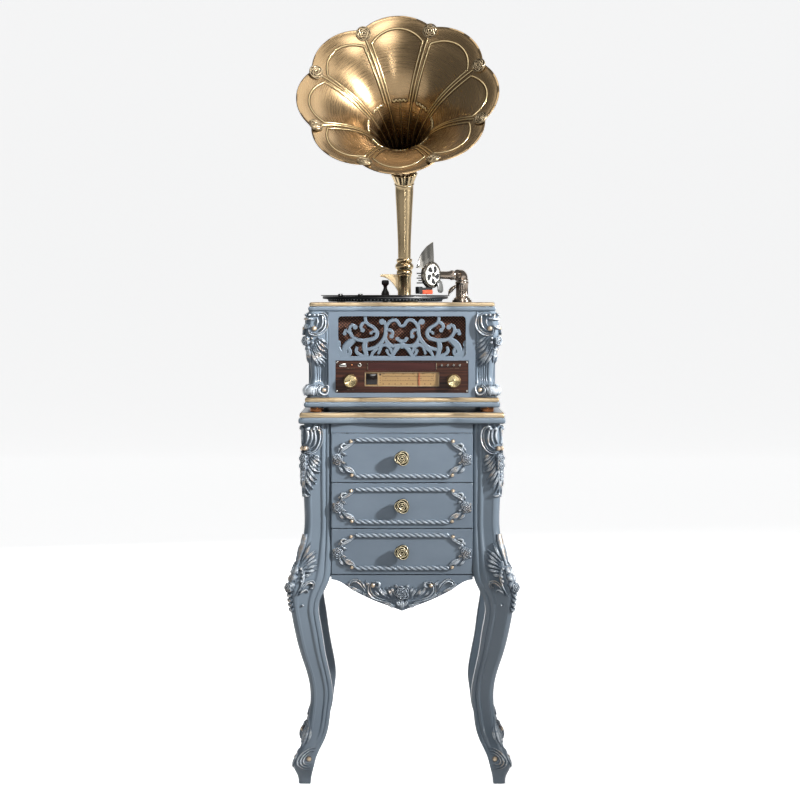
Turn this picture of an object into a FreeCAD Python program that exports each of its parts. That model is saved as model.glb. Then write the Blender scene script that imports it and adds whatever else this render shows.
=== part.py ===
import FreeCAD, Part
import math
import os
from FreeCAD import Vector

# A gramophone-style record player on a three-drawer cabinet with cabriole legs.
# Millimetres. +Z is up, the front faces -Y, the origin is on the floor under the middle.

# Shared fits
overrun = 2.0
seat_gap = 0.3
fit_gap = 0.05
full_turn = 360.0

# Legs and corner posts
knee_half_width = 257.0
depth_step = 13.0
leg_height = 823.0
leg_arris = 14.0
leg_ease = 3.0

# Cabinet boards
top_board_overhang = 12.0
top_board_height = 26.0
board_lip = 7.0
board_wave = 8.0
side_panel_thickness = 15.0
side_panel_inset = 4.0
side_panel_dip = 30.0
back_panel_thickness = 10.0
back_panel_inset = 6.0
bottom_board_thickness = 10.0
apron_drop = 72.0
apron_thickness = 18.0

# Drawers
top_rail_height = 20.5
drawer_gap = 1.5
drawer_side_gap = 0.7
drawer_front_recess = 3.0
drawer_front_thickness = 18.0
drawer_box_gap = 4.0
drawer_box_backspace = 20.0
drawer_box_rise = 10.0
drawer_box_headroom = 14.0
drawer_wall = 10.0
drawer_floor = 5.0
runner_width = 20.0
runner_height = 9.0
drawer_frame_inset = 13.0
drawer_frame_margin = 9.0
drawer_frame_width = 9.0
drawer_frame_relief = 6.0
knob_radius = 17.5
knob_length = 24.0
knob_shank_radius = 2.5

# Carvings on the posts, knees and apron
carving_relief = 13.0
carving_half_width = 27.0
carving_sink = 24.0
post_carving_headroom = 5.0
post_carving_length = 162.0
knee_carving_headroom = 8.0
knee_carving_length = 180.0
apron_carving_relief = 8.0
apron_carving_band = 15.0
apron_rose_radius = 17.0
apron_rose_rise = 40.0

# Player case
player_foot_height = 11.0
player_foot_radius = 16.0
player_foot_inset_x = 29.0
player_foot_inset_y = 22.0
base_board_half_width = 224.0
base_board_height = 23.0
case_half_width = 214.0
case_half_depth = 201.0
case_height = 196.0
case_side_thickness = 14.0
case_back_thickness = 12.0
front_panel_thickness = 16.0
pilaster_half_width = 221.0
pilaster_inner_half_width = 168.0
pilaster_depth = 46.0
pilaster_proud = 9.0
pilaster_arris = 12.0
deck_height = 21.0

# Grille and loudspeakers
grille_half_width = 145.6
grille_height = 93.0
grille_bottom = 92.0
grille_corner_radius = 8.0
fretwork_thickness = 6.0
fretwork_recess = 2.0
fretwork_stroke = 7.6
cloth_thickness = 3.0
cloth_margin = 6.0
speaker_radius = 44.0
speaker_flange = 4.0
speaker_basket_depth = 26.0
speaker_magnet_radius = 27.0
speaker_magnet_depth = 20.0
speaker_spacing = 150.0

# Radio panel
radio_half_width = 151.5
radio_bottom = 10.5
radio_height = 73.5
radio_thickness = 4.0
radio_recess = 1.0
radio_seat = 4.0
dial_half_width = 85.0
dial_height = 33.0
dial_center = 41.5
dial_margin = 2.4
dial_plate_thickness = 1.5
pointer_width = 1.4
pointer_thickness = 1.6
pointer_clear = 1.5
pointer_x = 39.0
radio_knob_spacing = 236.0
radio_knob_height = 37.5
radio_knob_radius = 16.0
radio_knob_length = 15.0
radio_shaft_radius = 3.0
radio_shaft_length = 14.0
button_radius = 2.6
button_proud = 2.6
button_flange_radius = 4.2
button_flange = 1.4
button_tail = 6.0
button_first_x = 91.0
button_pitch = 13.65
button_height = 73.5

# Disc tray
tray_door_half_width = 77.0
tray_door_height = 18.0
tray_door_rise = 61.5
tray_door_thickness = 5.0
tray_half_width = 66.0
tray_depth = 150.0
tray_thickness = 6.0
tray_disc_radius = 60.5
tray_disc_depth = 2.0
mechanism_plate = 3.0
mechanism_headroom = 10.0
mechanism_setback = 6.0

# Amplifier, power inlet and vents
amplifier_half_width = 62.0
amplifier_depth = 110.0
amplifier_standoff = 8.0
amplifier_standoff_radius = 3.0
amplifier_board_thickness = 1.6
heat_sink_height = 24.0
heat_sink_depth = 30.0
heat_sink_fin = 3.0
inlet_half_width = 24.0
inlet_height = 28.0
inlet_depth = 20.0
inlet_flange = 3.0
inlet_x = 120.0
inlet_rise = 24.0
inlet_socket_half_width = 12.0
inlet_socket_height = 14.0
vent_length = 70.0
vent_width = 5.0
vent_pitch = 14.0
vent_rise = 120.0

# Turntable
platter_x = -39.0
platter_y = -30.0
platter_radius = 133.5
platter_height = 11.0
platter_clear = 3.0
platter_web = 3.0
platter_rim = 8.0
platter_hub_radius = 62.0
platter_shaft_radius = 6.0
platter_shaft_length = 34.0
spindle_radius = 3.6
spindle_height = 18.0
record_radius = 151.0
record_thickness = 2.6
clamp_radius = 9.0
clamp_height = 35.0
motor_radius = 19.0
motor_height = 38.0
motor_reach = 96.0
pulley_radius = 6.0
pulley_shaft_radius = 1.5
belt_thickness = 1.2
belt_width = 4.0

# Deck knobs
deck_knob_radius = 8.0
deck_knob_height = 20.0
deck_knob_shaft_radius = 3.0
deck_knob_y = 150.0
start_knob_x = -148.0
speed_knob_x = -100.0

# Tone arm
arm_post_x = 142.0
arm_post_y = 30.0
arm_heading = 229.0
arm_flange_radius = 23.5
arm_flange_height = 11.0
arm_post_radius = 15.0
arm_post_height = 39.0
arm_pin_radius = 5.0
arm_pin_length = 24.0
elbow_height = 27.0
elbow_axis_rise = 13.0
arm_pivot_reach = 25.0
fork_gap = 6.3
fork_ear = 4.0
fork_ear_radius = 6.0
pivot_pin_radius = 2.0
arm_tongue_half_width = 6.0
arm_tube_start = 34.0
arm_tube_end = 126.0
arm_tube_radius = 10.0
reproducer_reach = 136.0
reproducer_offset = 11.0
reproducer_radius = 31.5
reproducer_thickness = 14.0
reproducer_face_radius = 23.8
reproducer_face_proud = 2.0
fin_heel = 8.0
fin_length = 57.0
fin_height = 60.0
fin_thickness = 3.0
stylus_reach = 150.0
cartridge_length = 34.0
cartridge_width = 12.0
cartridge_height = 17.0
stylus_length = 3.0
stylus_radius = 1.2

# Horn
horn_x = 6.0
horn_y = 165.0
horn_heading = -3.5
socket_flange_radius = 33.0
socket_flange_height = 6.0
socket_radius = 16.3
socket_height = 67.0
socket_bore_radius = 12.0
corbel_reach = 58.0
corbel_drop = 48.0
corbel_thickness = 14.0
stem_plug_length = 40.0
stem_ring_radius = 19.0
stem_ring_height = 8.0
stem_bulb_radius = 22.5
stem_bulb_height = 21.0
stem_foot_radius = 15.0
stem_head_radius = 22.0
stem_length = 163.0
horn_wall = 2.0
elbow_bend_radius = 60.0
horn_tilt = 55.2
bell_length = 291.0
bell_tip_radius = 235.0
bell_notch_radius = 216.0
bell_petals = 8

# Outlines, as shares of the sizes that they follow
# Post: shares of the knee's half width; cabriole and drawer sill: shares of the leg's height
post_share = 0.8716
post_inner_share = 0.6304
cabriole_share = 0.7047
drawer_sill_share = 0.5796
# Drawers: shares of the height that the sill, the rail and the gaps leave
lower_drawer_share = 0.3255
middle_drawer_share = 0.3239
upper_drawer_share = 0.3506
drawer_frame_corner_share = 0.327
# Leg: height share of the cabriole, outer and inner share of the knee's half width
leg_shares = [
    (0.000, 0.918, 0.813), (0.030, 0.928, 0.804), (0.071, 0.965, 0.782), (0.110, 0.936, 0.757),
    (0.160, 0.895, 0.700), (0.219, 0.852, 0.656), (0.269, 0.833, 0.642), (0.340, 0.821, 0.623),
    (0.400, 0.834, 0.636), (0.509, 0.903, 0.685), (0.621, 0.961, 0.722), (0.719, 0.996, 0.744),
    (0.776, 1.000, 0.716), (0.859, 0.946, 0.650),
]
# Pilaster: height share of the case, outer share of the pilaster's half width
pilaster_shares = [
    (0.00, 0.980), (0.09, 0.990), (0.17, 0.955), (0.32, 0.945), (0.46, 0.960),
    (0.62, 0.990), (0.73, 1.000), (0.86, 0.992), (0.95, 0.985), (1.00, 0.965),
]
# Moulded edge of a board: inset share of the lip, height share of the board
moulding_shares = [
    (0.75, 0.00), (0.10, 0.10), (0.00, 0.28), (0.08, 0.46), (0.55, 0.56),
    (0.45, 0.62), (0.42, 0.78), (0.55, 0.92), (0.90, 1.00),
]
# Front edge of a board in plan: half width share, wave share
wave_shares = [(-1.0, 0.0), (-0.78, 0.1), (-0.46, 1.0), (0.0, 0.3), (0.46, 1.0), (0.78, 0.1), (1.0, 0.0)]
# Lower edge of the apron: half width share, drop share
apron_shares = [(1.0, 0.0), (0.83, 0.13), (0.74, 0.27), (0.55, 0.51), (0.35, 0.71), (0.155, 0.87), (0.0, 1.0)]
# Apron carving: half width share, drop share, band share
apron_carving_shares = [(0.90, 0.08, 0.35), (0.74, 0.27, 0.9), (0.55, 0.51, 1.0), (0.35, 0.71, 1.1), (0.05, 0.96, 1.6)]
# Leaf carving on a post or knee: height share, half width share, relief share
leaf_shares = [
    (0.00, 0.10, 0.15), (0.12, 0.40, 0.55), (0.34, 0.72, 0.75), (0.58, 1.00, 0.90), (0.80, 0.95, 1.00),
    (0.93, 0.72, 0.85), (1.00, 0.35, 0.35),
]
leaf_crown_share = 0.35
leaf_wrap_share = 0.5
# Rose knob: length share, radius share
knob_shares = [(0.0, 0.45), (0.16, 0.45), (0.30, 0.34), (0.46, 0.52), (0.58, 1.0), (0.82, 0.96), (1.0, 0.45)]
# Bun foot: height share, radius share
foot_shares = [(0.0, 0.70), (0.18, 0.92), (0.5, 1.0), (0.82, 0.92), (1.0, 0.74)]
# Record clamp: height share, radius share
clamp_shares = [(0.0, 1.0), (0.18, 0.95), (0.42, 0.45), (0.58, 0.45), (0.74, 0.85), (0.90, 0.95), (1.0, 0.75)]
# Deck knob: height share, radius share
deck_knob_shares = [(0.0, 1.0), (0.25, 0.92), (0.45, 0.70), (0.85, 0.70), (1.0, 0.55)]
# Radio knob: length share, radius share
radio_knob_shares = [(0.0, 1.0), (0.34, 1.0), (0.42, 0.88), (0.92, 0.84), (1.0, 0.76)]
# Swept edge of the fin, from toe to tip: length share, height share
fin_shares = [(1.0, 0.0), (0.88, 0.30), (0.66, 0.60), (0.34, 0.84), (0.0, 1.0)]
# Bell wall: length share, radius share of the flare from throat to tip
bell_shares = [
    (0.00, 0.000), (0.14, 0.022), (0.30, 0.070), (0.46, 0.150), (0.62, 0.270),
    (0.76, 0.425), (0.88, 0.630), (0.95, 0.800), (1.00, 1.000),
]
# Scroll strokes of the left half of the fretwork: half width share, height share
fretwork_shares = [
    [(-0.547, 1.0), (-0.53, 0.86), (-0.45, 0.73), (-0.37, 0.61), (-0.38, 0.48), (-0.46, 0.41),
     (-0.58, 0.40), (-0.69, 0.43), (-0.77, 0.50), (-0.80, 0.62), (-0.77, 0.74), (-0.71, 0.75)],
    [(-0.53, 0.86), (-0.60, 0.79), (-0.62, 0.70), (-0.58, 0.65)],
    [(-0.75, 0.46), (-0.81, 0.34), (-0.86, 0.19), (-0.92, 0.13), (-0.97, 0.20), (-0.98, 0.36)],
    [(-0.81, 0.34), (-0.82, 0.16), (-0.79, 0.0)],
    [(-0.554, 0.0), (-0.545, 0.20), (-0.555, 0.40)],
    [(-0.55, 0.14), (-0.63, 0.10), (-0.69, 0.17), (-0.67, 0.27)],
    [(-0.55, 0.10), (-0.46, 0.20), (-0.36, 0.27), (-0.27, 0.40), (-0.225, 0.56), (-0.23, 0.73),
     (-0.235, 0.85), (-0.29, 0.90), (-0.32, 0.83)],
    [(-0.225, 0.68), (-0.17, 0.80), (-0.10, 0.87), (-0.03, 0.83), (0.0, 0.76)],
    [(-0.225, 0.60), (-0.14, 0.63), (-0.115, 0.52)],
    [(-0.225, 0.52), (-0.19, 0.36), (-0.10, 0.27), (0.0, 0.33)],
    [(-0.30, 0.36), (-0.22, 0.24), (-0.15, 0.16), (-0.155, 0.0)],
]
fretwork_stem_shares = [(0.0, 0.24), (0.0, 0.33), (0.0, 0.43)]

# Levels and places that follow from the sizes
post_half_width = knee_half_width * post_share
post_inner_half_width = knee_half_width * post_inner_share
cabriole_height = leg_height * cabriole_share
drawer_sill_z = leg_height * drawer_sill_share
top_rail_z = leg_height - top_rail_height
post_carving_top_z = leg_height - post_carving_headroom
post_carving_bottom_z = post_carving_top_z - post_carving_length
knee_carving_top_z = cabriole_height - knee_carving_headroom
knee_carving_bottom_z = knee_carving_top_z - knee_carving_length
drawer_box_half_width = post_inner_half_width - drawer_box_gap
drawer_frame_half_length = post_inner_half_width - drawer_frame_inset
post_half_depth = post_half_width - depth_step
post_inner_half_depth = post_inner_half_width - depth_step
drawer_face_y = -post_half_depth + drawer_front_recess
drawer_back_y = drawer_face_y + drawer_front_thickness
back_panel_y = post_half_depth - back_panel_inset - back_panel_thickness
drawer_box_depth = back_panel_y - drawer_back_y - drawer_box_backspace
drawer_shares = [("lower", lower_drawer_share), ("middle", middle_drawer_share), ("upper", upper_drawer_share)]
drawer_stack_height = top_rail_z - drawer_sill_z - drawer_gap * (len(drawer_shares) + 1)
cabinet_floor_z = drawer_sill_z - bottom_board_thickness
side_panel_x = post_half_width - side_panel_inset - side_panel_thickness
board_top_z = leg_height + top_board_height
base_bottom_z = board_top_z + player_foot_height
base_top_z = base_bottom_z + base_board_height
deck_bottom_z = base_top_z + case_height
deck_top_z = deck_bottom_z + deck_height
front_panel_y = -case_half_depth
front_panel_back_y = front_panel_y + front_panel_thickness
radio_face_y = front_panel_y + radio_recess
radio_back_y = radio_face_y + radio_thickness
dial_z = base_top_z + dial_center
tray_bottom_z = base_top_z + tray_door_rise
record_top_z = deck_top_z + platter_clear + platter_height + record_thickness
elbow_bottom_z = deck_top_z + arm_flange_height + arm_post_height + seat_gap
arm_axis_z = elbow_bottom_z + elbow_axis_rise
socket_top_z = deck_top_z + socket_height
stem_foot_z = socket_top_z + seat_gap + stem_ring_height + stem_bulb_height + stem_ring_height
stem_head_z = stem_foot_z + stem_length


def block(x0, x1, y0, y1, z0, z1):
    """A rectangular block between two corners."""
    return Part.makeBox(x1 - x0, y1 - y0, z1 - z0, Vector(x0, y0, z0))


def slab(points, direction):
    """A flat outline of points pushed along a direction."""
    return Part.Face(Part.makePolygon(points + [points[0]])).extrude(direction)


def curve_edge(points):
    """A smooth edge through points."""
    spline = Part.BSplineCurve()
    spline.interpolate(points)
    return spline.toShape()


def line_edge(start, end):
    """A straight edge."""
    return Part.LineSegment(start, end).toShape()


def turned(points, x, y):
    """A turned solid about a vertical axis, from (radius, height) points off the axis."""
    low, high = points[0][1], points[-1][1]
    path = [Vector(0, 0, low)] + [Vector(r, 0, z) for r, z in points] + [Vector(0, 0, high)]
    solid = Part.Face(Part.makePolygon(path + [path[0]])).revolve(Vector(), Vector(0, 0, 1), full_turn)
    solid.translate(Vector(x, y, 0))
    return solid


def turned_forward(points, x, z):
    """A turned solid whose axis runs front to back, from (radius, y) points."""
    solid = turned(points, 0, 0)
    solid.rotate(Vector(), Vector(1, 0, 0), -full_turn / 4)
    solid.translate(Vector(x, 0, z))
    return solid


def shared_profile(shares, start, length, radius):
    """Points (radius, place) of a turned profile written in shares."""
    return [(radius * r, start + length * s) for s, r in shares]


def fused(shapes):
    """One solid out of shapes that meet."""
    return shapes[0].multiFuse(shapes[1:]).removeSplitter()


def mirrored(shape, x_side, y_side):
    """A copy of a shape from the +X +Y corner, for another corner."""
    if x_side < 0:
        shape = shape.mirror(Vector(), Vector(1, 0, 0))
    if y_side < 0:
        shape = shape.mirror(Vector(), Vector(0, 1, 0))
    return shape


def board_outline(half_width, half_depth, wave, inset, z):
    """Plan of a board: straight sides and back, front edge waving in at the quarters."""
    x = half_width - inset
    y = half_depth - inset
    front = [Vector(x * sx, wave * sw - y, z) for sx, sw in wave_shares]
    back_right, back_left = Vector(x, y, z), Vector(-x, y, z)
    edges = [curve_edge(front), line_edge(front[-1], back_right),
             line_edge(back_right, back_left), line_edge(back_left, front[0])]
    return Part.Wire(edges)


def moulded_board(half_width, bottom_z, height):
    """A board with a broad torus round its edge and a set-back bead on top."""
    wires = [board_outline(half_width, half_width - depth_step, board_wave, board_lip * inset,
                           bottom_z + height * rise) for inset, rise in moulding_shares]
    return Part.makeLoft(wires, True, True)


def column_section(inner_x, outer_x, inner_y, outer_y, arris, ease, z):
    """Eight-sided section of a corner column, with a broad arris on its outer corner."""
    corners = [(inner_x + ease, inner_y), (outer_x - ease, inner_y), (outer_x, inner_y + ease),
               (outer_x, outer_y - arris), (outer_x - arris, outer_y), (inner_x + ease, outer_y),
               (inner_x, outer_y - ease), (inner_x, inner_y + ease)]
    points = [Vector(x, y, z) for x, y in corners]
    return Part.makePolygon(points + [points[0]])


def leg_places():
    """Height, outer and inner half width of the leg from the floor to the top of the cabriole."""
    places = [(cabriole_height * s, knee_half_width * outer, knee_half_width * inner)
              for s, outer, inner in leg_shares]
    return places + [(cabriole_height, post_half_width, post_inner_half_width)]


def leg_section(z, outer, inner):
    """Section of a leg at one height."""
    return column_section(inner, outer, inner - depth_step, outer - depth_step, leg_arris, leg_ease, z)


def leg():
    """One leg of the +X +Y corner: a cabriole that runs up into a square corner post."""
    cabriole = Part.makeLoft([leg_section(*place) for place in leg_places()], True, False)
    top = leg_section(cabriole_height, post_half_width, post_inner_half_width)
    post = Part.Face(top).extrude(Vector(0, 0, leg_height - cabriole_height))
    return cabriole.fuse(post)


def leg_outer_at(z):
    """Outer half width of the leg at a height, on straight runs between its sections."""
    places = leg_places()
    for (z0, outer0, _), (z1, outer1, _) in zip(places, places[1:]):
        if z0 <= z <= z1:
            return outer0 + (outer1 - outer0) * (z - z0) / (z1 - z0)
    return post_half_width


def leaf_carving(bottom_z, top_z, carrier):
    """A crowned leaf on the outer arris of the +X +Y leg, cut to lie on its surface."""
    sections = []
    diagonal = math.sqrt(0.5)
    for rise, width, relief in leaf_shares:
        z = bottom_z + (top_z - bottom_z) * rise
        corner = leg_outer_at(z) - leg_arris / 2
        half = carving_half_width * width
        high = carving_relief * relief
        crown, wrap = half * leaf_crown_share, half * leaf_wrap_share
        places = [(-half, -carving_sink), (half, -carving_sink), (half, -wrap),
                  (crown, high), (-crown, high), (-half, -wrap)]
        points = [Vector(corner + (out + along) * diagonal, corner - depth_step + (out - along) * diagonal, z)
                  for along, out in places]
        sections.append(Part.makePolygon(points + [points[0]]))
    return Part.makeLoft(sections, True, True).cut(carrier)


def side_panel():
    """Cabinet side between the right-hand posts, with a bowed lower edge."""
    half = post_inner_half_depth - seat_gap
    left, right = Vector(side_panel_x, -half, cabinet_floor_z), Vector(side_panel_x, half, cabinet_floor_z)
    bow = Part.Arc(left, Vector(side_panel_x, 0, cabinet_floor_z - side_panel_dip), right).toShape()
    top_right, top_left = Vector(side_panel_x, half, leg_height), Vector(side_panel_x, -half, leg_height)
    edges = [bow, line_edge(right, top_right), line_edge(top_right, top_left), line_edge(top_left, left)]
    return Part.Face(Part.Wire(edges)).extrude(Vector(side_panel_thickness, 0, 0))


def back_panel():
    """Cabinet back between the rear posts."""
    half = post_inner_half_width - seat_gap
    return block(-half, half, back_panel_y, back_panel_y + back_panel_thickness, cabinet_floor_z, leg_height)


def bottom_board():
    """Cabinet floor: wide between the sides, narrow between the legs."""
    half_depth = post_inner_half_depth - seat_gap
    wide = block(-side_panel_x, side_panel_x, -half_depth, half_depth, cabinet_floor_z, drawer_sill_z - seat_gap)
    narrow = block(-drawer_box_half_width, drawer_box_half_width, drawer_back_y, back_panel_y,
                   cabinet_floor_z, drawer_sill_z - seat_gap)
    return fused([wide, narrow])


def apron_edge(half, z, y):
    """Lower edge of the apron: two smooth curves that meet in a point under the middle."""
    right = [Vector(half * sx, y, z - apron_drop * sz) for sx, sz in apron_shares]
    left = [Vector(-p.x, y, p.z) for p in reversed(right)]
    return curve_edge(right), curve_edge(left), right[0], left[-1]


def front_apron():
    """Shaped board under the drawers."""
    half = post_inner_half_width - seat_gap
    right, left, start, end = apron_edge(half, cabinet_floor_z, drawer_face_y)
    top_left, top_right = Vector(-half, drawer_face_y, drawer_sill_z), Vector(half, drawer_face_y, drawer_sill_z)
    edges = [right, left, line_edge(end, top_left), line_edge(top_left, top_right), line_edge(top_right, start)]
    return Part.Face(Part.Wire(edges)).extrude(Vector(0, apron_thickness, 0))


def apron_carving():
    """Leaf bands along the apron's edge with a rose in the middle."""
    half = post_inner_half_width - seat_gap
    relief = Vector(0, -apron_carving_relief, 0)
    low = [Vector(half * sx, drawer_face_y, cabinet_floor_z - apron_drop * sz) for sx, sz, _ in apron_carving_shares]
    high = [Vector(p.x, p.y, p.z + apron_carving_band * s[2]) for p, s in zip(low, apron_carving_shares)]
    edges = [curve_edge(low), line_edge(low[-1], high[-1]), curve_edge(high[::-1]), line_edge(high[0], low[0])]
    band = Part.Face(Part.Wire(edges)).extrude(relief)
    rose_z = cabinet_floor_z - apron_drop + apron_rose_rise
    rose = Part.makeCylinder(apron_rose_radius, apron_carving_relief, Vector(0, drawer_face_y, rose_z), relief)
    return fused([band, mirrored(band, -1, 1), rose])


def drawer_frame(z0, height):
    """Octagonal carved frame on a drawer front."""
    middle = z0 + height / 2
    relief = Vector(0, -drawer_frame_relief, 0)
    faces = []
    for inset in (0, drawer_frame_width):
        half_x = drawer_frame_half_length - inset
        half_z = height / 2 - drawer_frame_margin - inset
        corner = height * drawer_frame_corner_share - inset / 2
        quarter = [(half_x, half_z - corner), (half_x - corner, half_z)]
        ring = quarter + [(-x, z) for x, z in reversed(quarter)]
        ring = ring + [(-x, -z) for x, z in ring]
        faces.append(slab([Vector(x, drawer_face_y, middle + z) for x, z in ring], relief))
    return faces[0].cut(faces[1])


def drawer_front(z0, height):
    """Drawer front with its carved frame and the hole for the knob's shank."""
    half = post_inner_half_width - drawer_side_gap
    board = block(-half, half, drawer_face_y, drawer_back_y, z0, z0 + height)
    start = Vector(0, drawer_face_y - overrun, z0 + height / 2)
    hole = Part.makeCylinder(knob_shank_radius + fit_gap, drawer_front_thickness + 2 * overrun, start, Vector(0, 1, 0))
    return fused([board, drawer_frame(z0, height)]).cut(hole)


def drawer_box(z0, height):
    """Open box behind a drawer front."""
    half = drawer_box_half_width
    back = drawer_back_y + drawer_box_depth
    low, high = z0 + drawer_box_rise, z0 + height - drawer_box_headroom
    outside = block(-half, half, drawer_back_y, back, low, high)
    inside = block(drawer_wall - half, half - drawer_wall, drawer_back_y + drawer_wall, back - drawer_wall,
                   low + drawer_floor, high + overrun)
    return outside.cut(inside)


def drawer_knob(z0, height):
    """Rose-shaped knob with a shank through the drawer front."""
    head = shared_profile(knob_shares, 0, knob_length, knob_radius)
    points = [(r, drawer_face_y - place) for r, place in reversed(head)]
    shank = [(knob_shank_radius, drawer_face_y), (knob_shank_radius, drawer_back_y)]
    return turned_forward(points + shank, 0, z0 + height / 2)


def drawer_runners(sills):
    """A pair of runners under each drawer box, between the posts and the back."""
    bars = []
    for z0 in sills:
        top = z0 + drawer_box_rise - seat_gap
        outer = post_inner_half_width - seat_gap
        bar = block(outer - runner_width, outer, drawer_back_y + seat_gap, back_panel_y, top - runner_height, top)
        bars += [bar, mirrored(bar, -1, 1)]
    return Part.makeCompound(bars)


def top_rail():
    """Rail between the upper drawer and the top board."""
    half = post_inner_half_width - seat_gap
    return block(-half, half, drawer_face_y, drawer_back_y, top_rail_z, leg_height)


def player_feet():
    """Four bun feet between the cabinet top and the base board."""
    profile = shared_profile(foot_shares, board_top_z, player_foot_height, player_foot_radius)
    x = base_board_half_width - player_foot_inset_x
    y = base_board_half_width - depth_step - player_foot_inset_y
    return Part.makeCompound([turned(profile, sx * x, sy * y) for sx in (-1, 1) for sy in (-1, 1)])


def pilaster():
    """Carved corner column of the player case, for the +X +Y corner."""
    wires = []
    for rise, outer in pilaster_shares:
        x = pilaster_half_width * outer
        y = case_half_depth + pilaster_proud - pilaster_half_width * (1 - outer)
        wires.append(column_section(pilaster_inner_half_width, x, case_half_depth - pilaster_depth, y,
                                    pilaster_arris, leg_ease, base_top_z + case_height * rise))
    return Part.makeLoft(wires, True, False)


def case_side():
    """Side board of the player case, between pilaster and back."""
    front = pilaster_depth - case_half_depth + seat_gap
    return block(case_half_width - case_side_thickness, case_half_width, front,
                 case_half_depth - case_back_thickness, base_top_z, deck_bottom_z)


def case_back():
    """Back board of the player case, with vent slots and the power inlet's window."""
    y0, y1 = case_half_depth - case_back_thickness, case_half_depth
    board = block(-case_half_width, case_half_width, y0, y1, base_top_z, deck_bottom_z)
    cuts = [block(inlet_x - inlet_half_width, inlet_x + inlet_half_width, y0 - overrun, y1 + overrun,
                  base_top_z + inlet_rise, base_top_z + inlet_rise + inlet_height)]
    count = int(case_half_width / vent_pitch) - 2
    for i in range(count):
        x = (i - (count - 1) / 2) * vent_pitch
        z = base_top_z + vent_rise - vent_length / 2
        cuts.append(block(x - vent_width / 2, x + vent_width / 2, y0 - overrun, y1 + overrun, z, z + vent_length))
    return board.cut(Part.makeCompound(cuts))


def power_inlet():
    """Recessed mains inlet in the back of the case."""
    z = base_top_z + inlet_rise
    half = inlet_half_width - fit_gap
    y = case_half_depth
    body = block(inlet_x - half, inlet_x + half, y - inlet_depth, y, z + fit_gap, z + inlet_height - fit_gap)
    rim = block(inlet_x - half - inlet_flange, inlet_x + half + inlet_flange, y, y + inlet_flange,
                z - inlet_flange, z + inlet_height + inlet_flange)
    middle = z + inlet_height / 2
    socket = block(inlet_x - inlet_socket_half_width, inlet_x + inlet_socket_half_width,
                   y - inlet_depth + inlet_flange, y + inlet_flange + overrun,
                   middle - inlet_socket_height / 2, middle + inlet_socket_height / 2)
    return fused([body, rim]).cut(socket)


def grille_block(inset, y0, y1):
    """Block with the grille opening's rounded outline, drawn in by an inset."""
    z0 = base_top_z + grille_bottom
    half = grille_half_width - inset
    shape = block(-half, half, y0, y1, z0 + inset, z0 + grille_height - inset)
    upright = [e for e in shape.Edges if abs(e.Vertexes[0].Y - e.Vertexes[1].Y) > fit_gap]
    return shape.makeFillet(grille_corner_radius - inset, upright)


def front_panel():
    """Front of the player case, with the grille opening and a rebate for the radio panel."""
    half = pilaster_inner_half_width - seat_gap
    panel = block(-half, half, front_panel_y, front_panel_back_y, base_top_z, deck_bottom_z)
    low, high = base_top_z + radio_bottom, base_top_z + radio_bottom + radio_height
    rebate = block(-radio_half_width - seat_gap, radio_half_width + seat_gap, front_panel_y - overrun,
                   radio_back_y, low - seat_gap, high + seat_gap)
    window = block(radio_seat - radio_half_width, radio_half_width - radio_seat, front_panel_y,
                   front_panel_back_y + overrun, low + radio_seat, high - radio_seat)
    grille = grille_block(0, front_panel_y - overrun, front_panel_back_y + overrun)
    return panel.cut(Part.makeCompound([rebate, window])).cut(grille)


def fretwork_stroke_solid(shares, side, y):
    """One scroll stroke: a ribbon of even width along a smooth centre line."""
    z0 = base_top_z + grille_bottom
    half = grille_half_width
    spine = Part.BSplineCurve()
    spine.interpolate([Vector(side * half * sx, y, z0 + grille_height * sz) for sx, sz in shares])
    first, last = spine.FirstParameter, spine.LastParameter
    steps = len(shares) * 3
    left, right = [], []
    for i in range(steps + 1):
        t = first + (last - first) * i / steps
        point, along = spine.value(t), spine.tangent(t)[0]
        across = Vector(-along.z, 0, along.x) * (fretwork_stroke / 2)
        left.append(point + across)
        right.append(point - across)
    return slab(left + right[::-1], Vector(0, fretwork_thickness, 0))


def grille_fretwork():
    """Scroll fretwork in a slim frame, filling the grille opening."""
    y = front_panel_y + fretwork_recess
    frame = grille_block(fit_gap, y, y + fretwork_thickness)
    frame = frame.cut(grille_block(fretwork_stroke / 3, y - overrun, y + fretwork_thickness + overrun))
    strokes = [fretwork_stroke_solid(shares, side, y) for shares in fretwork_shares for side in (-1, 1)]
    strokes.append(fretwork_stroke_solid(fretwork_stem_shares, 1, y))
    return fused([frame] + strokes).common(grille_block(fit_gap, y, y + fretwork_thickness))


def speaker_cloth():
    """Cloth-covered board behind the grille."""
    z0 = base_top_z + grille_bottom - cloth_margin
    half = grille_half_width + cloth_margin
    return block(-half, half, front_panel_back_y, front_panel_back_y + cloth_thickness, z0,
                 z0 + grille_height + 2 * cloth_margin)


def loudspeakers():
    """Two loudspeakers on the back of the cloth board."""
    y = front_panel_back_y + cloth_thickness
    back = y + speaker_flange + speaker_basket_depth
    points = [(speaker_radius, y), (speaker_radius, y + speaker_flange),
              (speaker_radius - speaker_flange, y + speaker_flange), (speaker_magnet_radius, back),
              (speaker_magnet_radius, back + speaker_magnet_depth)]
    z = base_top_z + grille_bottom + grille_height / 2
    return Part.makeCompound([turned_forward(points, side * speaker_spacing / 2, z) for side in (-1, 1)])


def radio_hole(radius, x, z):
    """Round cut through the radio panel."""
    return Part.makeCylinder(radius, radio_thickness + 2 * overrun, Vector(x, radio_face_y - overrun, z), Vector(0, 1, 0))


def button_places():
    """Places of the four push buttons."""
    return [(button_first_x + button_pitch * i, base_top_z + button_height) for i in range(4)]


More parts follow.
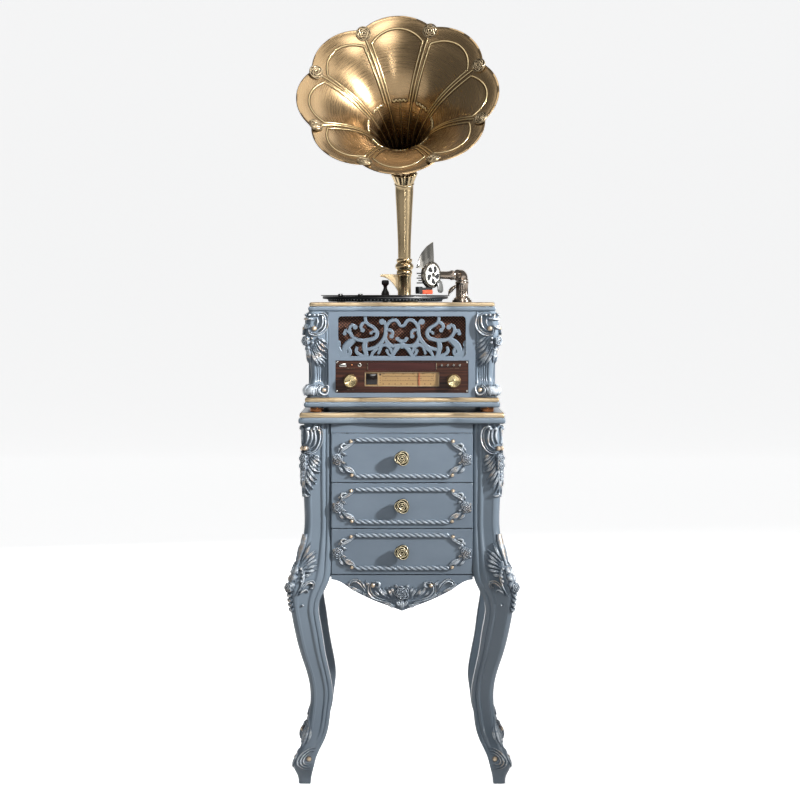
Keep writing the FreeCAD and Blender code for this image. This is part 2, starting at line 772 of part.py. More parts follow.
def radio_panel():
    """Panel with the dial window, tray slot and holes for shafts and buttons."""
    low = base_top_z + radio_bottom
    y0, y1 = radio_face_y - overrun, radio_back_y + overrun
    panel = block(-radio_half_width, radio_half_width, radio_face_y, radio_back_y, low, low + radio_height)
    cuts = [block(-dial_half_width, dial_half_width, y0, y1, dial_z - dial_height / 2, dial_z + dial_height / 2)]
    half = tray_door_half_width + seat_gap
    cuts.append(block(-half, half, y0, y1, tray_bottom_z - seat_gap, tray_bottom_z + tray_door_height + seat_gap))
    for side in (-1, 1):
        cuts.append(radio_hole(radio_shaft_radius + fit_gap, side * radio_knob_spacing / 2, base_top_z + radio_knob_height))
    cuts += [radio_hole(button_radius + fit_gap, x, z) for x, z in button_places()]
    return panel.cut(Part.makeCompound(cuts))


def dial_plate():
    """Printed dial behind the panel's window."""
    half = dial_half_width + dial_margin
    low = dial_z - dial_height / 2 - dial_margin
    return block(-half, half, radio_back_y, radio_back_y + dial_plate_thickness, low, low + dial_height + 2 * dial_margin)


def dial_pointer():
    """Needle that slides along the dial, in the depth of the window."""
    y = radio_back_y - seat_gap
    half = dial_height / 2 - pointer_clear
    return block(pointer_x - pointer_width / 2, pointer_x + pointer_width / 2, y - pointer_thickness, y,
                 dial_z - half, dial_z + half)


def radio_knob(side):
    """Turned knob on a shaft through the radio panel."""
    face = radio_face_y - seat_gap
    head = shared_profile(radio_knob_shares, 0, radio_knob_length, radio_knob_radius)
    points = [(r, face - place) for r, place in reversed(head)]
    shaft = [(radio_shaft_radius, face), (radio_shaft_radius, face + radio_shaft_length)]
    return turned_forward(points + shaft, side * radio_knob_spacing / 2, base_top_z + radio_knob_height)


def push_button(x, z):
    """Push button with a collar behind the panel."""
    collar = radio_back_y + seat_gap
    points = [(button_radius, radio_face_y - button_proud), (button_radius, collar),
              (button_flange_radius, collar), (button_flange_radius, collar + button_flange),
              (button_radius, collar + button_flange), (button_radius, collar + button_tail)]
    return turned_forward(points, x, z)


def disc_tray():
    """Sliding disc tray with its door flush in the radio panel."""
    door = block(-tray_door_half_width, tray_door_half_width, radio_face_y, radio_face_y + tray_door_thickness,
                 tray_bottom_z, tray_bottom_z + tray_door_height)
    y = radio_face_y + tray_door_thickness
    plate = block(-tray_half_width, tray_half_width, y, y + tray_depth, tray_bottom_z, tray_bottom_z + tray_thickness)
    seat = Vector(0, y + tray_depth / 2, tray_bottom_z + tray_thickness - tray_disc_depth)
    recess = Part.makeCylinder(tray_disc_radius, tray_disc_depth + overrun, seat)
    return fused([door, plate.cut(recess)])


def disc_mechanism():
    """Frame that carries the tray: two side plates on the base board and a shelf between them."""
    y0 = front_panel_back_y + mechanism_setback
    y1 = radio_face_y + tray_door_thickness + tray_depth
    top = tray_bottom_z + tray_door_height + mechanism_headroom - cloth_margin
    inner = tray_half_width + seat_gap
    shelf_top = tray_bottom_z - seat_gap
    shelf = block(-inner, inner, y0, y1, shelf_top - mechanism_plate, shelf_top)
    plate = block(inner, inner + mechanism_plate, y0, y1, base_top_z, top)
    return fused([plate, mirrored(plate, -1, 1), shelf])


def amplifier_board():
    """Circuit board on four stand-offs, with a finned heat sink."""
    y0 = front_panel_back_y + mechanism_setback + heat_sink_depth / 2
    y1 = y0 + amplifier_depth
    half = amplifier_half_width
    low = base_top_z + amplifier_standoff
    high = low + amplifier_board_thickness
    pieces = [block(-half, half, y0, y1, low, high)]
    step = 2 * amplifier_standoff_radius
    for x in (step - half, half - step):
        for y in (y0 + step, y1 - step):
            pieces.append(Part.makeCylinder(amplifier_standoff_radius, amplifier_standoff, Vector(x, y, base_top_z)))
    sink_y = y1 - heat_sink_depth
    count = int(half / heat_sink_fin / 2)
    for i in range(count):
        x = (i - (count - 1) / 2) * heat_sink_fin * 2
        pieces.append(block(x - heat_sink_fin / 2, x + heat_sink_fin / 2, sink_y, y1, high, high + heat_sink_height))
    pieces.append(block(-half / 2, half / 2, sink_y, y1, high, high + heat_sink_fin))
    return fused(pieces)


def motor_place():
    """Centre of the motor, beside the platter's hub on the side away from the tone arm."""
    return platter_x - motor_reach, platter_y


def deck_board():
    """Deck with its moulded edge and the holes for shafts and posts."""
    deck = moulded_board(case_half_width, deck_bottom_z, deck_height)
    motor_x, motor_y = motor_place()
    holes = [(platter_x, platter_y, platter_shaft_radius + fit_gap),
             (motor_x, motor_y, pulley_radius + seat_gap)]
    holes += [(x, deck_knob_y, deck_knob_shaft_radius + fit_gap) for x in (start_knob_x, speed_knob_x)]
    for x, y, radius in holes:
        deck = deck.cut(Part.makeCylinder(radius, deck_height + 2 * overrun, Vector(x, y, deck_bottom_z - overrun)))
    return deck


def platter():
    """Platter with a hollow underside, a drive hub, a shaft below and a spindle above."""
    z0 = deck_top_z + platter_clear
    z1 = z0 + platter_height
    points = [(platter_shaft_radius, z0 - platter_shaft_length), (platter_shaft_radius, z0),
              (platter_hub_radius, z0), (platter_hub_radius, z1 - platter_web),
              (platter_radius - platter_rim, z1 - platter_web), (platter_radius - platter_rim, z0),
              (platter_radius, z0), (platter_radius, z1), (spindle_radius, z1),
              (spindle_radius, z1 + spindle_height)]
    return turned(points, platter_x, platter_y)


def record():
    """Record on the platter."""
    z = record_top_z - record_thickness
    disc = Part.makeCylinder(record_radius, record_thickness, Vector(platter_x, platter_y, z))
    return disc.cut(spindle_bore(z, record_thickness))


def spindle_bore(z, depth):
    """Cut for the spindle in what sits on the platter."""
    start = Vector(platter_x, platter_y, z - overrun)
    return Part.makeCylinder(spindle_radius + fit_gap, depth + overrun, start).fuse(
        Part.makeCylinder(spindle_radius + fit_gap, depth + overrun, Vector(platter_x, platter_y, z)))


def record_clamp():
    """Waisted clamp over the spindle."""
    solid = turned(shared_profile(clamp_shares, record_top_z, clamp_height, clamp_radius), platter_x, platter_y)
    return solid.cut(spindle_bore(record_top_z, spindle_height - record_thickness))


def motor():
    """Motor under the deck."""
    x, y = motor_place()
    body = Part.makeCylinder(motor_radius, motor_height, Vector(x, y, deck_bottom_z - motor_height))
    bore = Part.makeCylinder(pulley_shaft_radius + fit_gap, motor_height, Vector(x, y, deck_bottom_z - motor_height / 2))
    return body.cut(bore)


def motor_pulley():
    """Pulley on the motor's shaft, inside the platter's hollow."""
    x, y = motor_place()
    z0 = deck_top_z + platter_clear
    points = [(pulley_shaft_radius, deck_bottom_z - motor_height / 2 + seat_gap), (pulley_shaft_radius, z0),
              (pulley_radius, z0), (pulley_radius, z0 + belt_width + overrun)]
    return turned(points, x, y)


def belt_loop(hub, small, z, height):
    """Solid bounded by a belt line round the hub and the pulley."""
    x, y = motor_place()
    lean = math.asin((hub - small) / motor_reach)
    ends = []
    for cx, radius in ((platter_x, hub), (x, small)):
        ends.append(Vector(cx - radius * math.sin(lean), y + radius * math.cos(lean), z))
        ends.append(Vector(cx - radius * math.sin(lean), y - radius * math.cos(lean), z))
    hub_arc = Part.Arc(ends[0], Vector(platter_x + hub, y, z), ends[1]).toShape()
    pulley_arc = Part.Arc(ends[3], Vector(x - small, y, z), ends[2]).toShape()
    wire = Part.Wire([hub_arc, line_edge(ends[1], ends[3]), pulley_arc, line_edge(ends[2], ends[0])])
    return Part.Face(wire).extrude(Vector(0, 0, height))


def drive_belt():
    """Flat belt from the motor pulley to the platter's hub."""
    z = deck_top_z + platter_clear + seat_gap
    outer = belt_loop(platter_hub_radius + seat_gap + belt_thickness, pulley_radius + seat_gap + belt_thickness,
                      z, belt_width)
    inner = belt_loop(platter_hub_radius + seat_gap, pulley_radius + seat_gap, z - overrun, belt_width + 2 * overrun)
    return outer.cut(inner)


def deck_knob(x):
    """Small turned knob on a shaft through the deck."""
    z = deck_top_z + seat_gap
    points = [(deck_knob_shaft_radius, deck_bottom_z), (deck_knob_shaft_radius, z)]
    return turned(points + shared_profile(deck_knob_shares, z, deck_knob_height, deck_knob_radius), x, deck_knob_y)


def placed_arm(shape):
    """A tone arm piece moved from its own frame (along the arm, to its face side) to the deck."""
    shape.rotate(Vector(), Vector(0, 0, 1), arm_heading)
    shape.translate(Vector(arm_post_x, arm_post_y, 0))
    return shape


def tonearm_base():
    """Flange and fluted post that carry the tone arm."""
    top = elbow_bottom_z - seat_gap
    points = [(arm_flange_radius, deck_top_z), (arm_flange_radius, deck_top_z + arm_flange_height / 2),
              (arm_post_radius, deck_top_z + arm_flange_height), (arm_post_radius, top)]
    post = turned(points, arm_post_x, arm_post_y)
    start = Vector(arm_post_x, arm_post_y, top - arm_pin_length)
    return post.cut(Part.makeCylinder(arm_pin_radius + fit_gap, arm_pin_length + overrun, start))


def pivot_rod(radius, half_length):
    """Rod across the arm on the lift axis."""
    start = Vector(arm_pivot_reach, -half_length, arm_axis_z)
    return Part.makeCylinder(radius, 2 * half_length, start, Vector(0, 1, 0))


def tonearm_elbow():
    """Elbow that swings on the post and holds the arm in a fork."""
    low, high = elbow_bottom_z, elbow_bottom_z + elbow_height
    points = [(arm_pin_radius, low - arm_pin_length + seat_gap), (arm_pin_radius, low), (arm_post_radius, low),
              (arm_post_radius, high - leg_ease), (arm_post_radius - leg_ease, high)]
    pieces = [turned(points, 0, 0)]
    for side in (-1, 1):
        inner, outer = side * fork_gap, side * (fork_gap + fork_ear)
        y0, y1 = min(inner, outer), max(inner, outer)
        pieces.append(block(0, arm_pivot_reach, y0, y1, arm_axis_z - fork_ear_radius, arm_axis_z + fork_ear_radius))
        pieces.append(Part.makeCylinder(fork_ear_radius, fork_ear, Vector(arm_pivot_reach, y0, arm_axis_z), Vector(0, 1, 0)))
    bore = pivot_rod(pivot_pin_radius + fit_gap, fork_gap + fork_ear + overrun)
    return placed_arm(fused(pieces).cut(bore))


def tonearm_tube():
    """Arm tube with a tongue and cross pin in the elbow's fork."""
    tongue = block(arm_pivot_reach, arm_tube_start + leg_ease, -arm_tongue_half_width, arm_tongue_half_width,
                   arm_axis_z - arm_tongue_half_width, arm_axis_z + arm_tongue_half_width)
    eye = Part.makeCylinder(arm_tongue_half_width, 2 * arm_tongue_half_width,
                            Vector(arm_pivot_reach, -arm_tongue_half_width, arm_axis_z), Vector(0, 1, 0))
    pin = pivot_rod(pivot_pin_radius, fork_gap + fork_ear)
    tube = Part.makeCylinder(arm_tube_radius, arm_tube_end - arm_tube_start, Vector(arm_tube_start, 0, arm_axis_z),
                             Vector(1, 0, 0))
    return placed_arm(fused([tongue, eye, pin, tube]))


def reproducer():
    """Round sound box beside the end of the tube, with a swept fin on its top."""
    back = Vector(reproducer_reach, reproducer_offset, arm_axis_z)
    case = Part.makeCylinder(reproducer_radius, reproducer_thickness, back, Vector(0, 1, 0))
    face = Part.makeCylinder(reproducer_face_radius, reproducer_thickness + reproducer_face_proud, back, Vector(0, 1, 0))
    y = reproducer_offset + (reproducer_thickness - fin_thickness) / 2
    foot = arm_axis_z + reproducer_radius / 2
    heel = Vector(reproducer_reach - fin_heel, y, foot)
    points = [heel + Vector(fin_length * sx, 0, fin_height * sz) for sx, sz in fin_shares]
    tip, toe = points[-1], points[0]
    sweep = curve_edge(points)
    outline = Part.Wire([line_edge(heel, toe), sweep, line_edge(tip, heel)])
    fin = Part.Face(outline).extrude(Vector(0, fin_thickness, 0))
    solid = fused([case, face, fin])
    tube = Part.makeCylinder(arm_tube_radius, arm_tube_end, Vector(0, 0, arm_axis_z), Vector(1, 0, 0))
    return placed_arm(solid.cut(tube))


def cartridge():
    """Cartridge under the sound box, with its stylus just clear of the record."""
    middle = reproducer_offset + reproducer_thickness / 2
    low = record_top_z + seat_gap + stylus_length
    x = stylus_reach - cartridge_length / 2
    body = block(x, x + cartridge_length, middle - cartridge_width / 2, middle + cartridge_width / 2,
                 low, low + cartridge_height)
    neck = block(x, x + cartridge_length / 2, middle - cartridge_width / 4, middle + cartridge_width / 4,
                 low, arm_axis_z)
    tip = Part.makeCone(0, stylus_radius, stylus_length, Vector(stylus_reach, middle, record_top_z + seat_gap))
    case = Part.makeCylinder(reproducer_radius, reproducer_thickness,
                             Vector(reproducer_reach, reproducer_offset, arm_axis_z), Vector(0, 1, 0))
    return placed_arm(fused([body, neck, tip]).cut(case))


def horn_bracket():
    """Flanged socket for the horn, with a corbel bracket on its left."""
    points = [(socket_flange_radius, deck_top_z), (socket_flange_radius, deck_top_z + socket_flange_height / 2),
              (socket_radius, deck_top_z + socket_flange_height), (socket_radius, socket_top_z)]
    socket = turned(points, 0, horn_y)
    y = horn_y - corbel_thickness / 2
    top_out, top_in = Vector(-corbel_reach, y, socket_top_z), Vector(0, y, socket_top_z)
    low_in = Vector(0, y, socket_top_z - corbel_drop)
    lip = Vector(-corbel_reach, y, socket_top_z - socket_flange_height)
    hollow = Vector(-corbel_reach / 2, y, socket_top_z - corbel_drop / 3)
    edges = [line_edge(top_in, top_out), line_edge(top_out, lip), Part.Arc(lip, hollow, low_in).toShape(),
             line_edge(low_in, top_in)]
    corbel = Part.Face(Part.Wire(edges)).extrude(Vector(0, corbel_thickness, 0))
    start = Vector(0, horn_y, socket_top_z - stem_plug_length - overrun)
    bore = Part.makeCylinder(socket_bore_radius + fit_gap, stem_plug_length + 2 * overrun, start)
    solid = fused([socket, corbel]).cut(bore)
    solid.translate(Vector(horn_x, 0, 0))
    return solid


def placed_horn(shape):
    """A piece of the horn turned to its heading about the stem and moved to its place."""
    shape.rotate(Vector(0, horn_y, 0), Vector(0, 0, 1), horn_heading)
    shape.translate(Vector(horn_x, 0, 0))
    return shape


def horn_stem():
    """Tapered tube with a collar at its foot, bent forward at its head to meet the bell."""
    foot = socket_top_z + seat_gap
    bulb = foot + stem_ring_height
    ring = bulb + stem_bulb_height
    points = [(socket_bore_radius, foot - stem_plug_length), (socket_bore_radius, foot),
              (stem_ring_radius, foot), (stem_ring_radius, bulb), (stem_bulb_radius, bulb + stem_bulb_height / 2),
              (stem_ring_radius, ring), (stem_ring_radius, stem_foot_z), (stem_foot_radius, stem_foot_z),
              (stem_head_radius, stem_head_z)]
    solid = turned(points, 0, horn_y)
    bore_points = [(stem_foot_radius - horn_wall, stem_foot_z), (stem_head_radius - horn_wall, stem_head_z + overrun)]
    solid = solid.cut(turned(bore_points, 0, horn_y))
    ring_face = Part.Face([Part.Wire(Part.makeCircle(r, Vector(0, horn_y, stem_head_z)))
                           for r in (stem_head_radius, stem_head_radius - horn_wall)])
    ring_face.validate()
    bend = ring_face.revolve(Vector(0, horn_y - elbow_bend_radius, stem_head_z), Vector(1, 0, 0), horn_tilt)
    return placed_horn(solid.fuse(bend))


def bell_wall_points(inner):
    """Points (radius, place) of the bell's outer or inner wall from throat to lip."""
    points = []
    for place, flare in bell_shares:
        r = stem_head_radius + (bell_tip_radius - stem_head_radius) * flare
        z = bell_length * place
        if inner:
            r -= horn_wall * (1 - place)
            z += horn_wall * place
        points.append(Vector(r, 0, z))
    return points


def petal_prism():
    """Prism with the bell's eight-lobed outline."""
    step = 2 * math.pi / bell_petals
    edges = []
    for i in range(bell_petals):
        places = [(bell_notch_radius, i - 0.5), (bell_tip_radius, i), (bell_notch_radius, i + 0.5)]
        notch, tip, last = [Vector(r * math.cos(step * k), r * math.sin(step * k), -overrun) for r, k in places]
        edges.append(Part.Arc(notch, tip, last).toShape())
    return Part.Face(Part.Wire(edges)).extrude(Vector(0, 0, bell_length + horn_wall + 2 * overrun))


def horn_bell():
    """Thin flared bell with an eight-petalled lip, leaning forward from the stem's bend."""
    outer, inner = bell_wall_points(False), bell_wall_points(True)
    edges = [curve_edge(outer), line_edge(outer[-1], inner[-1]), curve_edge(inner[::-1]), line_edge(inner[0], outer[0])]
    shell = Part.Face(Part.Wire(edges)).revolve(Vector(), Vector(0, 0, 1), full_turn)
    bell = shell.common(petal_prism())
    bell.rotate(Vector(), Vector(0, 0, 1), full_turn / 4)
    bell.rotate(Vector(), Vector(1, 0, 0), horn_tilt)
    angle = math.radians(horn_tilt)
    y = horn_y - elbow_bend_radius * (1 - math.cos(angle))
    bell.translate(Vector(0, y, stem_head_z + elbow_bend_radius * math.sin(angle)))
    return placed_horn(bell)


def cabinet():
    """Nodes of the cabinet without its drawers."""
    corner = leg()
    sides = {"left": -1, "right": 1}
    ends = {"front": -1, "rear": 1}
    nodes = {}
    for end, sy in ends.items():
        for side, sx in sides.items():
            nodes["leg_%s_%s" % (end, side)] = mirrored(corner, sx, sy)
    leaves = [leaf_carving(post_carving_bottom_z, post_carving_top_z, corner),
              leaf_carving(knee_carving_bottom_z, knee_carving_top_z, corner)]
    carvings = [mirrored(leaf, sx, sy) for leaf in leaves for sx in (-1, 1) for sy in (-1, 1)]
    nodes["cabinet_carvings"] = Part.makeCompound(carvings + [apron_carving()])
    nodes["cabinet_top_board"] = moulded_board(post_half_width + top_board_overhang, leg_height, top_board_height)
    nodes["cabinet_sides"] = Part.makeCompound([side_panel(), mirrored(side_panel(), -1, 1)])
    nodes["cabinet_back"] = back_panel()
    nodes["cabinet_bottom"] = bottom_board()
    nodes["front_apron"] = front_apron()
    return nodes


def drawers():
    """Nodes of the three drawers, their runners and the rail above them."""
    nodes = {}
    sills = []
    z = drawer_sill_z + drawer_gap
    for name, share in drawer_shares:
        height = drawer_stack_height * share
        nodes[name + "_drawer_front"] = drawer_front(z, height)
        nodes[name + "_drawer_box"] = drawer_box(z, height)
        nodes[name + "_drawer_knob"] = drawer_knob(z, height)
        sills.append(z)
        z += height + drawer_gap
    nodes["drawer_runners"] = drawer_runners(sills)
    nodes["top_rail"] = top_rail()
    return nodes


def player_case():
    """Nodes of the player's case and front."""
    column = pilaster()
    nodes = {
        "player_feet": player_feet(),
        "player_base_board": moulded_board(base_board_half_width, base_bottom_z, base_board_height),
        "player_sides": Part.makeCompound([case_side(), mirrored(case_side(), -1, 1)]),
        "player_back": case_back(),
        "power_inlet": power_inlet(),
        "front_panel": front_panel(),
        "corner_pilasters": Part.makeCompound([mirrored(column, sx, -1) for sx in (-1, 1)]),
        "grille_fretwork": grille_fretwork(),
        "speaker_cloth": speaker_cloth(),
        "loudspeakers": loudspeakers(),
        "radio_panel": radio_panel(),
        "dial_plate": dial_plate(),
        "dial_pointer": dial_pointer(),
        "volume_knob": radio_knob(-1),
        "tuning_knob": radio_knob(1),
        "disc_tray": disc_tray(),
        "disc_mechanism": disc_mechanism(),
        "amplifier_board": amplifier_board(),
    }
    names = ["power_button", "mode_button", "previous_button", "next_button"]
    for name, (x, z) in zip(names, button_places()):
        nodes[name] = push_button(x, z)
    return nodes


def deck():
    """Nodes of the turntable, tone arm and horn."""
    return {
        "deck_board": deck_board(),
        "platter": platter(),
        "record": record(),
        "record_clamp": record_clamp(),
        "motor": motor(),
        "motor_pulley": motor_pulley(),
        "drive_belt": drive_belt(),
        "start_knob": deck_knob(start_knob_x),
        "speed_knob": deck_knob(speed_knob_x),
        "tonearm_base": tonearm_base(),
        "tonearm_elbow": tonearm_elbow(),
        "tonearm_tube": tonearm_tube(),
        "reproducer": reproducer(),
        "cartridge": cartridge(),
        "horn_bracket": horn_bracket(),
        "horn_stem": horn_stem(),
        "horn_bell": horn_bell(),
    }


os.makedirs("parts", exist_ok=True)
all_nodes = {**cabinet(), **drawers(), **player_case(), **deck()}
for node, shape in all_nodes.items():
    shape.exportStep("parts/%s.step" % node)
    print(node, len(shape.Solids), shape.isValid(), round(shape.Volume))
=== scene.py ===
import logging
import math
from dataclasses import dataclass, field
from enum import Enum
from typing import Callable, ClassVar, Optional, Sequence, Union

import bmesh
import bpy
import numpy as np
from mathutils import Euler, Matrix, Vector


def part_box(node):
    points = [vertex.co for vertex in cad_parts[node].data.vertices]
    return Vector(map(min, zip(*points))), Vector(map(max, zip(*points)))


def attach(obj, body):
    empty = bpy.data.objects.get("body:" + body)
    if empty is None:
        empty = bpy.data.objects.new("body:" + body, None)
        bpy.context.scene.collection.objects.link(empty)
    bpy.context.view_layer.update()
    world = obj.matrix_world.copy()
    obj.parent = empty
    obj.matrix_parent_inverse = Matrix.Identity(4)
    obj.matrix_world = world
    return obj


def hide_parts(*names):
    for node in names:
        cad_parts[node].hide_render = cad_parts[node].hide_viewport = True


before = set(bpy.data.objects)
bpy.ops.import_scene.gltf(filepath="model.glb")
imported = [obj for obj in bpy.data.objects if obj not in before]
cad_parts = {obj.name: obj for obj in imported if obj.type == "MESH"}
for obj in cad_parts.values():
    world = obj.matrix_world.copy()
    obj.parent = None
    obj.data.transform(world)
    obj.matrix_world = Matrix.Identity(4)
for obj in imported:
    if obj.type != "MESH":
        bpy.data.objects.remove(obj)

LOG = logging.getLogger("record_player")
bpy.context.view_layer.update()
MM = 0.001
TINY = 1e-9
Place = Callable[[np.ndarray, np.ndarray, np.ndarray], np.ndarray]
Ripple = Callable[[np.ndarray, np.ndarray], np.ndarray]
Points = Sequence[Sequence[float]]
Socket = bpy.types.NodeSocket


# Geometry kit: every shape is worked out in millimetres as whole arrays


@dataclass
class Shape:
    """A surface made of quads, with per-vertex marks and a finish number per face.

    Crown marks run from 0 in a hollow to 1 on a high point. Brush marks are the
    coordinates along which a metal was brushed.
    """

    verts: np.ndarray
    quads: np.ndarray
    crown: Optional[np.ndarray] = None
    brush: Optional[np.ndarray] = None
    tint: Optional[np.ndarray] = None

    def __post_init__(self) -> None:
        """Fill in the marks that a shape was given none of."""
        self.verts = np.asarray(self.verts, dtype=float).reshape(-1, 3)
        if self.crown is None:
            self.crown = np.full(len(self.verts), 0.5)
        if self.brush is None:
            self.brush = self.verts.copy()
        if self.tint is None:
            self.tint = np.zeros(len(self.quads), dtype=int)

    def mapped(self, rule: Callable[[np.ndarray], np.ndarray]) -> "Shape":
        """Return a copy whose points went through a rule."""
        return Shape(rule(self.verts), self.quads, self.crown, self.brush, self.tint)

    def moved(self, x: float = 0.0, y: float = 0.0, z: float = 0.0) -> "Shape":
        """Return a copy shifted by a step."""
        return self.mapped(lambda v: v + np.array([x, y, z]))

    def mirrored(self, x: float = 1.0, y: float = 1.0) -> "Shape":
        """Return a copy with X or Y turned over, its faces still pointing outwards."""
        flipped = self.mapped(lambda v: v * np.array([x, y, 1.0]))
        if x * y < 0:
            flipped.quads = flipped.quads[:, ::-1]
        return flipped

    def painted(self, number: int) -> "Shape":
        """Return a copy whose faces all take one finish number."""
        return Shape(self.verts, self.quads, self.crown, self.brush, np.full(len(self.quads), number))


def joined(shapes: Sequence[Shape]) -> Shape:
    """Put several shapes into one, keeping their marks and finish numbers."""
    starts = np.cumsum([0] + [len(s.verts) for s in shapes[:-1]])
    quads = np.concatenate([s.quads + start for s, start in zip(shapes, starts)])
    verts, crown, brush, tint = (np.concatenate([getattr(s, key) for s in shapes])
                                 for key in ("verts", "crown", "brush", "tint"))
    return Shape(verts, quads, crown, brush, tint)


def both_sides(shapes: Sequence[Shape]) -> Shape:
    """Put shapes of the left half into one with their mirror images."""
    half = joined(shapes)
    return joined([half, half.mirrored(x=-1)])


def grid_quads(rows: int, cols: int, close_rows: bool = False, close_cols: bool = False) -> np.ndarray:
    """Return the quads of a grid of rows by cols points, closed round either way if asked."""
    r = np.arange(rows if close_rows else rows - 1)[:, None]
    c = np.arange(cols if close_cols else cols - 1)[None, :]
    r1, c1 = (r + 1) % rows, (c + 1) % cols
    corners = [r * cols + c, r * cols + c1, r1 * cols + c1, r1 * cols + c]
    return np.stack([np.broadcast_to(k, (r.size, c.size)) for k in corners], axis=-1).reshape(-1, 4)


def capped(rows: np.ndarray, first: Sequence[float], last: Sequence[float]) -> np.ndarray:
    """Return loops of points with a loop drawn into one point before the first and after the last."""
    shape = (1, *rows.shape[1:])
    return np.concatenate([np.broadcast_to(first, shape), rows, np.broadcast_to(last, shape)])


def tube(loops: np.ndarray, crown: Optional[np.ndarray] = None, brush: Optional[np.ndarray] = None) -> Shape:
    """Return the shape that runs through closed loops of points, one after another."""
    return Shape(loops, grid_quads(len(loops), loops.shape[1], close_cols=True),
                 None if crown is None else crown.ravel(), None if brush is None else brush.reshape(-1, 3))


def turns(count: int) -> np.ndarray:
    """Return angles spaced evenly round a full turn."""
    return np.linspace(0, 2 * np.pi, count, endpoint=False)


def turned(degrees: float) -> np.ndarray:
    """Return the matrix that turns rows of points about Z."""
    c, s = math.cos(math.radians(degrees)), math.sin(math.radians(degrees))
    return np.array([[c, s, 0], [-s, c, 0], [0, 0, 1]])


def unit(vectors: np.ndarray) -> np.ndarray:
    """Return vectors scaled to a length of 1."""
    return vectors / np.maximum(np.linalg.norm(vectors, axis=-1, keepdims=True), TINY)


def window(x: np.ndarray, low: float, high: float) -> np.ndarray:
    """Tell where values lie between two limits."""
    return (x > low) & (x < high)


def bump(x: np.ndarray, middle: float, width: float) -> np.ndarray:
    """Return a bell curve: 1 at its middle and falling away over a width."""
    return np.exp(-(((x - middle) / width) ** 2))


def smooth(points: Points, count: int) -> np.ndarray:
    """Return points on a natural cubic spline through given points, spaced by chord length.

    The second slopes come from the usual three-term equations, solved for all dimensions at once.

    Args:
        points: The points that the curve passes through.
        count: How many points to return.

    Returns:
        An array of count points.
    """
    p = np.asarray(points, dtype=float)
    knots = np.concatenate([[0.0], np.cumsum(np.maximum(np.linalg.norm(np.diff(p, axis=0), axis=1), TINY))])
    gaps = np.diff(knots)
    n = len(p)
    system = np.eye(n)
    right = np.zeros_like(p)
    inner = np.arange(1, n - 1)
    system[inner, inner - 1] = gaps[:-1]
    system[inner, inner] = 2 * (gaps[:-1] + gaps[1:])
    system[inner, inner + 1] = gaps[1:]
    right[1:-1] = 6 * np.diff(np.diff(p, axis=0) / gaps[:, None], axis=0)
    bend = np.linalg.solve(system, right)
    t = np.linspace(0, knots[-1], count)
    k = np.clip(np.searchsorted(knots, t) - 1, 0, n - 2)
    a, b = ((knots[k + 1] - t) / gaps[k])[:, None], ((t - knots[k]) / gaps[k])[:, None]
    curve = ((a**3 - a) * bend[k] + (b**3 - b) * bend[k + 1]) * gaps[k][:, None] ** 2 / 6
    return a * p[k] + b * p[k + 1] + curve


def eased(x: np.ndarray, low: float, high: float) -> np.ndarray:
    """Rise smoothly from 0 at low to 1 at high."""
    t = np.clip((np.asarray(x, dtype=float) - low) / (high - low), 0, 1)
    return t * t * (3 - 2 * t)


def round_marks(along: np.ndarray, angle: np.ndarray, radius: float) -> np.ndarray:
    """Return brush marks of turned metal: the way along its profile, and a circle for the way round."""
    along, c, s = np.broadcast_arrays(along, radius * np.cos(angle), radius * np.sin(angle))
    return np.stack([along, c, s], axis=-1)


def lathe(profile: Points, segments: int = 64, ripple: Optional[Ripple] = None) -> Shape:
    """Turn a profile of (radius, height) rows about the Z axis.

    A point is (r cos a, r sin a, h); ripple(a, share) scales r where flutes or knurls are wanted.

    Args:
        profile: Rows of radius and height; a radius of 0 at both ends closes the solid.
        segments: Steps round the axis.
        ripple: Scale of the radius, from the angle and the share along the profile.

    Returns:
        The turned shape, with brush marks that run round the axis.
    """
    profile = np.asarray(profile, dtype=float)
    a = turns(segments)[None, :]
    share = np.linspace(0, 1, len(profile))[:, None]
    r = profile[:, :1] * (ripple(a, share) if ripple else np.ones_like(a))
    h = np.broadcast_to(profile[:, 1:2], r.shape)
    along = np.concatenate([[0.0], np.cumsum(np.linalg.norm(np.diff(profile, axis=0), axis=1))])
    return tube(np.stack([r * np.cos(a), r * np.sin(a), h], axis=-1), brush=round_marks(along[:, None], a, 8))


def ribbed(count: int, depth: float, low: float, high: float) -> Ripple:
    """Return the ripple of so many ribs on a part of the profile, their depth a share of the radius."""
    return lambda a, share: 1 + depth * np.cos(count * a) * window(share, low, high)


def aimed(shape: Shape, origin: Sequence[float], axis: Sequence[float], side: Sequence[float]) -> Shape:
    """Move a shape's own Z to an axis, its X to a side direction, and its origin to a point."""
    z = unit(np.asarray(axis, dtype=float))
    x = unit(np.asarray(side, dtype=float) - np.dot(side, z) * z)
    turn = np.stack([x, np.cross(z, x), z])
    return shape.mapped(lambda v: v @ turn + np.asarray(origin, dtype=float))


def facing_front(shape: Shape, x: float, y: float, z: float) -> Shape:
    """Place a turned shape with its axis towards the front (-Y) and its foot at a point."""
    return aimed(shape, (x, y, z), (0, -1, 0), (1, 0, 0))


